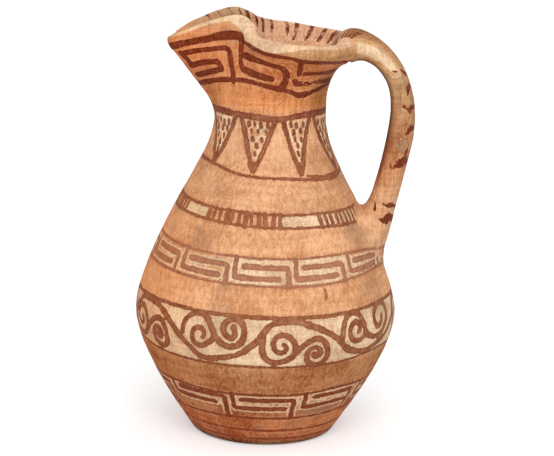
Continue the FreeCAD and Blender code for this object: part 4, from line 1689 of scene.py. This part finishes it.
def make_handle(strap, root, body_values, finish):
    """The handle's three pieces, whose fillet carries the body's paint below the key band's top."""
    values = bare_values(strap)
    values.update(zip(("paint", "cream", "slip", "shade_and_grime"), handle_paint(strap)))
    # Painted light: the clay round the handle's root is painted paler
    values["slip"] = np.maximum(values["slip"], root_light_and_blotch(strap, root))
    root_start = handle_rows - 1
    spread = strap[root_start:]
    below = spread[..., 2] < ring_height(key_top, around_axis(spread)) + 2
    for label, found in body_values.items():
        own = values[label][root_start:]
        own[below] = np.minimum(own, found.reshape(own.shape))[below]
    rim_end = int(handle_rows * rim_wad_share)
    for name, rows, node in (
        ("handle_rim_wad", slice(0, rim_end + 1), "handle_rim_lute"),
        ("strap_handle", slice(rim_end, root_start + 1), "handle"),
        ("handle_shoulder_wad", slice(root_start, len(strap)), "handle_shoulder_lute"),
    ):
        part = strap[rows]
        part_values = {label: found[rows] for label, found in values.items()}
        capped_skin(name, part, (0, len(part) - 1), part_values, node, finish)


def make_jug():
    """Every piece of the jug, painted in one go so that no pattern breaks at a seam."""
    clay = clay_finish("painted clay", ground_tones, paint_tones, thin_tones, 0.9)
    handle_clay = clay_finish(
        "handle clay", handle_tones, handle_paint_tones, handle_thin_tones, 1.8
    )
    strap, strap_outward = handle_rings()
    mouth, strap = joined_at_rim(mouth_skin(), strap, strap_outward)
    crest = int(mouth[..., 2].mean(axis=1).argmax())
    foot_top = len(under_shares) + foot_edge_rows
    lengths = (
        ("lower_body_wall", "lower_body", base_seam, belly_height, rows_up_lower_body),
        ("shoulder_wall", "shoulder", belly_height, neck_seam, rows_up_shoulder),
        ("neck_wall", "neck", neck_seam, mouth_seam, rows_up_neck),
    )
    rings = {"base_foot": foot_rings()}
    outside = {"base_foot": slice(len(under_shares), foot_top)}
    for name, _, low, high, rows in lengths:
        rings[name] = wall_rings(low, high, rows)
        outside[name] = slice(0, rows)
    rings["trefoil_mouth"] = mouth
    outside["trefoil_mouth"] = slice(0, crest)
    painted = np.concatenate([rings[name][rows].reshape(-1, 3) for name, rows in outside.items()])
    spread = strap[handle_rows - 1 :]
    root = spread[0].mean(axis=0)
    paint, cream = body_paint(np.concatenate([painted, spread.reshape(-1, 3)]))
    carried = {"paint": paint, "cream": cream}
    carried["gouged"] = np.maximum(gouge(painted), neck_crack(painted))
    # Painted shade with grime on the neck, under the mouth
    carried["shade_and_grime"] = neck_shade_and_grime(painted)
    # Painted light: the body round the handle's root is painted paler
    carried["slip"] = root_light_and_blotch(painted, root)
    values = {}
    start = 0
    for name, rows in outside.items():
        values[name] = bare_values(rings[name])
        shape = rings[name][rows].shape[:2]
        stop = start + shape[0] * shape[1]
        for label, found in carried.items():
            values[name][label][rows] = found[start:stop].reshape(shape)
        start = stop
    lip_paint, lip_slip, inner_slip, spout_darkening = mouth_paint(mouth, crest)
    lip = values["trefoil_mouth"]
    lip["paint"] = np.minimum(lip["paint"], lip_paint)
    lip["cream"] = np.minimum(lip["cream"], lip_slip)
    lip["slip"] = inner_slip
    # Darker inside the spout, near its lip
    lip["shade_and_grime"] = np.maximum(lip["shade_and_grime"], spout_darkening)
    capped_skin("base_foot", rings["base_foot"], (foot_top - 1,), values["base_foot"], "base_disc",
                clay)
    for name, node, _, _, outer in lengths:
        sharp_rows = (0, outer - 1, outer, outer + inner_rows - 1)
        closed_skin(name, rings[name], outer - 1, sharp_rows, values[name], node, clay)
    closed_skin("trefoil_mouth", mouth, crest, (0, mouth_rows - 1), lip, "mouth", clay)
    body_values = {"paint": paint[len(painted) :], "cream": cream[len(painted) :]}
    make_handle(strap, root, body_values, handle_clay)


# The room


def seen_directly(tree):
    """One where the camera or a clear reflection looks, and nought for all other light."""
    path = add(tree, "LightPath").outputs
    return sum_of(tree, "MAXIMUM", path["Is Camera Ray"], path["Is Glossy Ray"])


def make_floor():
    """A wide pale floor that turns white where no shadow falls on it."""
    mesh = bpy.data.meshes.new("floor")
    half = 6.0
    drop = -0.2 * mm
    corners = [(-half, -half, drop), (half, -half, drop), (half, half, drop), (-half, half, drop)]
    mesh.from_pydata(corners, [], [(0, 1, 2, 3)])
    floor = put_in_scene("floor", mesh)
    finish, tree, shader = new_finish("pale floor")
    pale = (0.86, 0.86, 0.86, 1)
    give(tree, shader, {"Base Color": pale, "Roughness": 0.9, "Specular IOR Level": 0.0})
    glow = add(tree, "Emission", {0: (1, 1, 1, 1)})
    spot = add(tree, "TexCoord").outputs["Object"]
    away = add(tree, "VectorMath", {0: spot}, operation="LENGTH").outputs["Value"]
    away = sum_of(tree, "MINIMUM", sum_of(tree, "DIVIDE", away, 2.2), 1.0)
    away = times(tree, sum_of(tree, "POWER", away, 0.6), 0.27)
    strength = times(tree, seen_directly(tree), plus(tree, away, 0.38))
    tree.links.new(strength, glow.inputs["Strength"])
    both = add(tree, "AddShader", {0: shader.outputs[0], 1: glow.outputs[0]})
    tree.links.new(both.outputs[0], tree.nodes["Material Output"].inputs["Surface"])
    mesh.materials.append(finish)


def make_light():
    """A white room with one large soft lamp in front, above and a little to the right."""
    world = bpy.data.worlds.new("white room")
    bpy.context.scene.world = world
    world.use_nodes = True
    tree = world.node_tree
    strength = plus(tree, times(tree, seen_directly(tree), 0.48), 0.52)
    background = tree.nodes["Background"]
    background.inputs[0].default_value = (1, 1, 1, 1)
    tree.links.new(strength, background.inputs[1])
    for name, place, size, power in (
        ("front softbox", (0.2, -1.35, 1.05), 0.9, 13.0),
        ("top softbox", (0.1, -0.2, 1.6), 1.2, 3.0),
    ):
        lamp = bpy.data.lights.new(name, "AREA")
        lamp.size = size
        lamp.energy = power
        lit = put_in_scene(name, lamp)
        lit.location = place
        aim = Vector((0, 0, 0.11)) - Vector(place)
        lit.rotation_mode = "QUATERNION"
        lit.rotation_quaternion = aim.to_track_quat("-Z", "Y")


# The photograph's view: a camera 1.3 m from a spot on the axis, looking down a little
view_distance = 1300.0
view_height = 110.0
view_elevation = 12.3
view_azimuth = 6.0
view_roll = 1.43
photo_width = 554
photo_height = 456
focal_pixels = 2340.0
axis_pixel = (266.85, 235.01)
sensor = 36.0


def make_camera():
    """The camera, at the angle from which the photograph was taken."""
    rise = math.radians(view_elevation)
    turn = math.radians(view_azimuth)
    roll = math.radians(view_roll)
    back = Vector(
        (math.sin(turn) * math.cos(rise), -math.cos(turn) * math.cos(rise), math.sin(rise))
    )
    right = (-back).cross(Vector((0, 0, 1))).normalized()
    upward = right.cross(-back)
    across = right * math.cos(roll) + upward * math.sin(roll)
    over = upward * math.cos(roll) - right * math.sin(roll)
    lens = bpy.data.cameras.new("camera")
    lens.sensor_width = sensor
    lens.lens = focal_pixels / photo_width * sensor
    lens.shift_x = (photo_width / 2 - axis_pixel[0]) / photo_width
    lens.shift_y = (axis_pixel[1] - photo_height / 2) / photo_width
    lens.clip_start = 0.05
    camera = put_in_scene("camera", lens)
    place = (Vector((0, 0, view_height)) + back * view_distance) * mm
    turned = Matrix((across, over, back)).transposed().to_4x4()
    camera.matrix_world = Matrix.Translation(place) @ turned
    bpy.context.scene.camera = camera


make_jug()
make_floor()
make_light()
make_camera()
bpy.context.scene.view_settings.view_transform = "Standard"
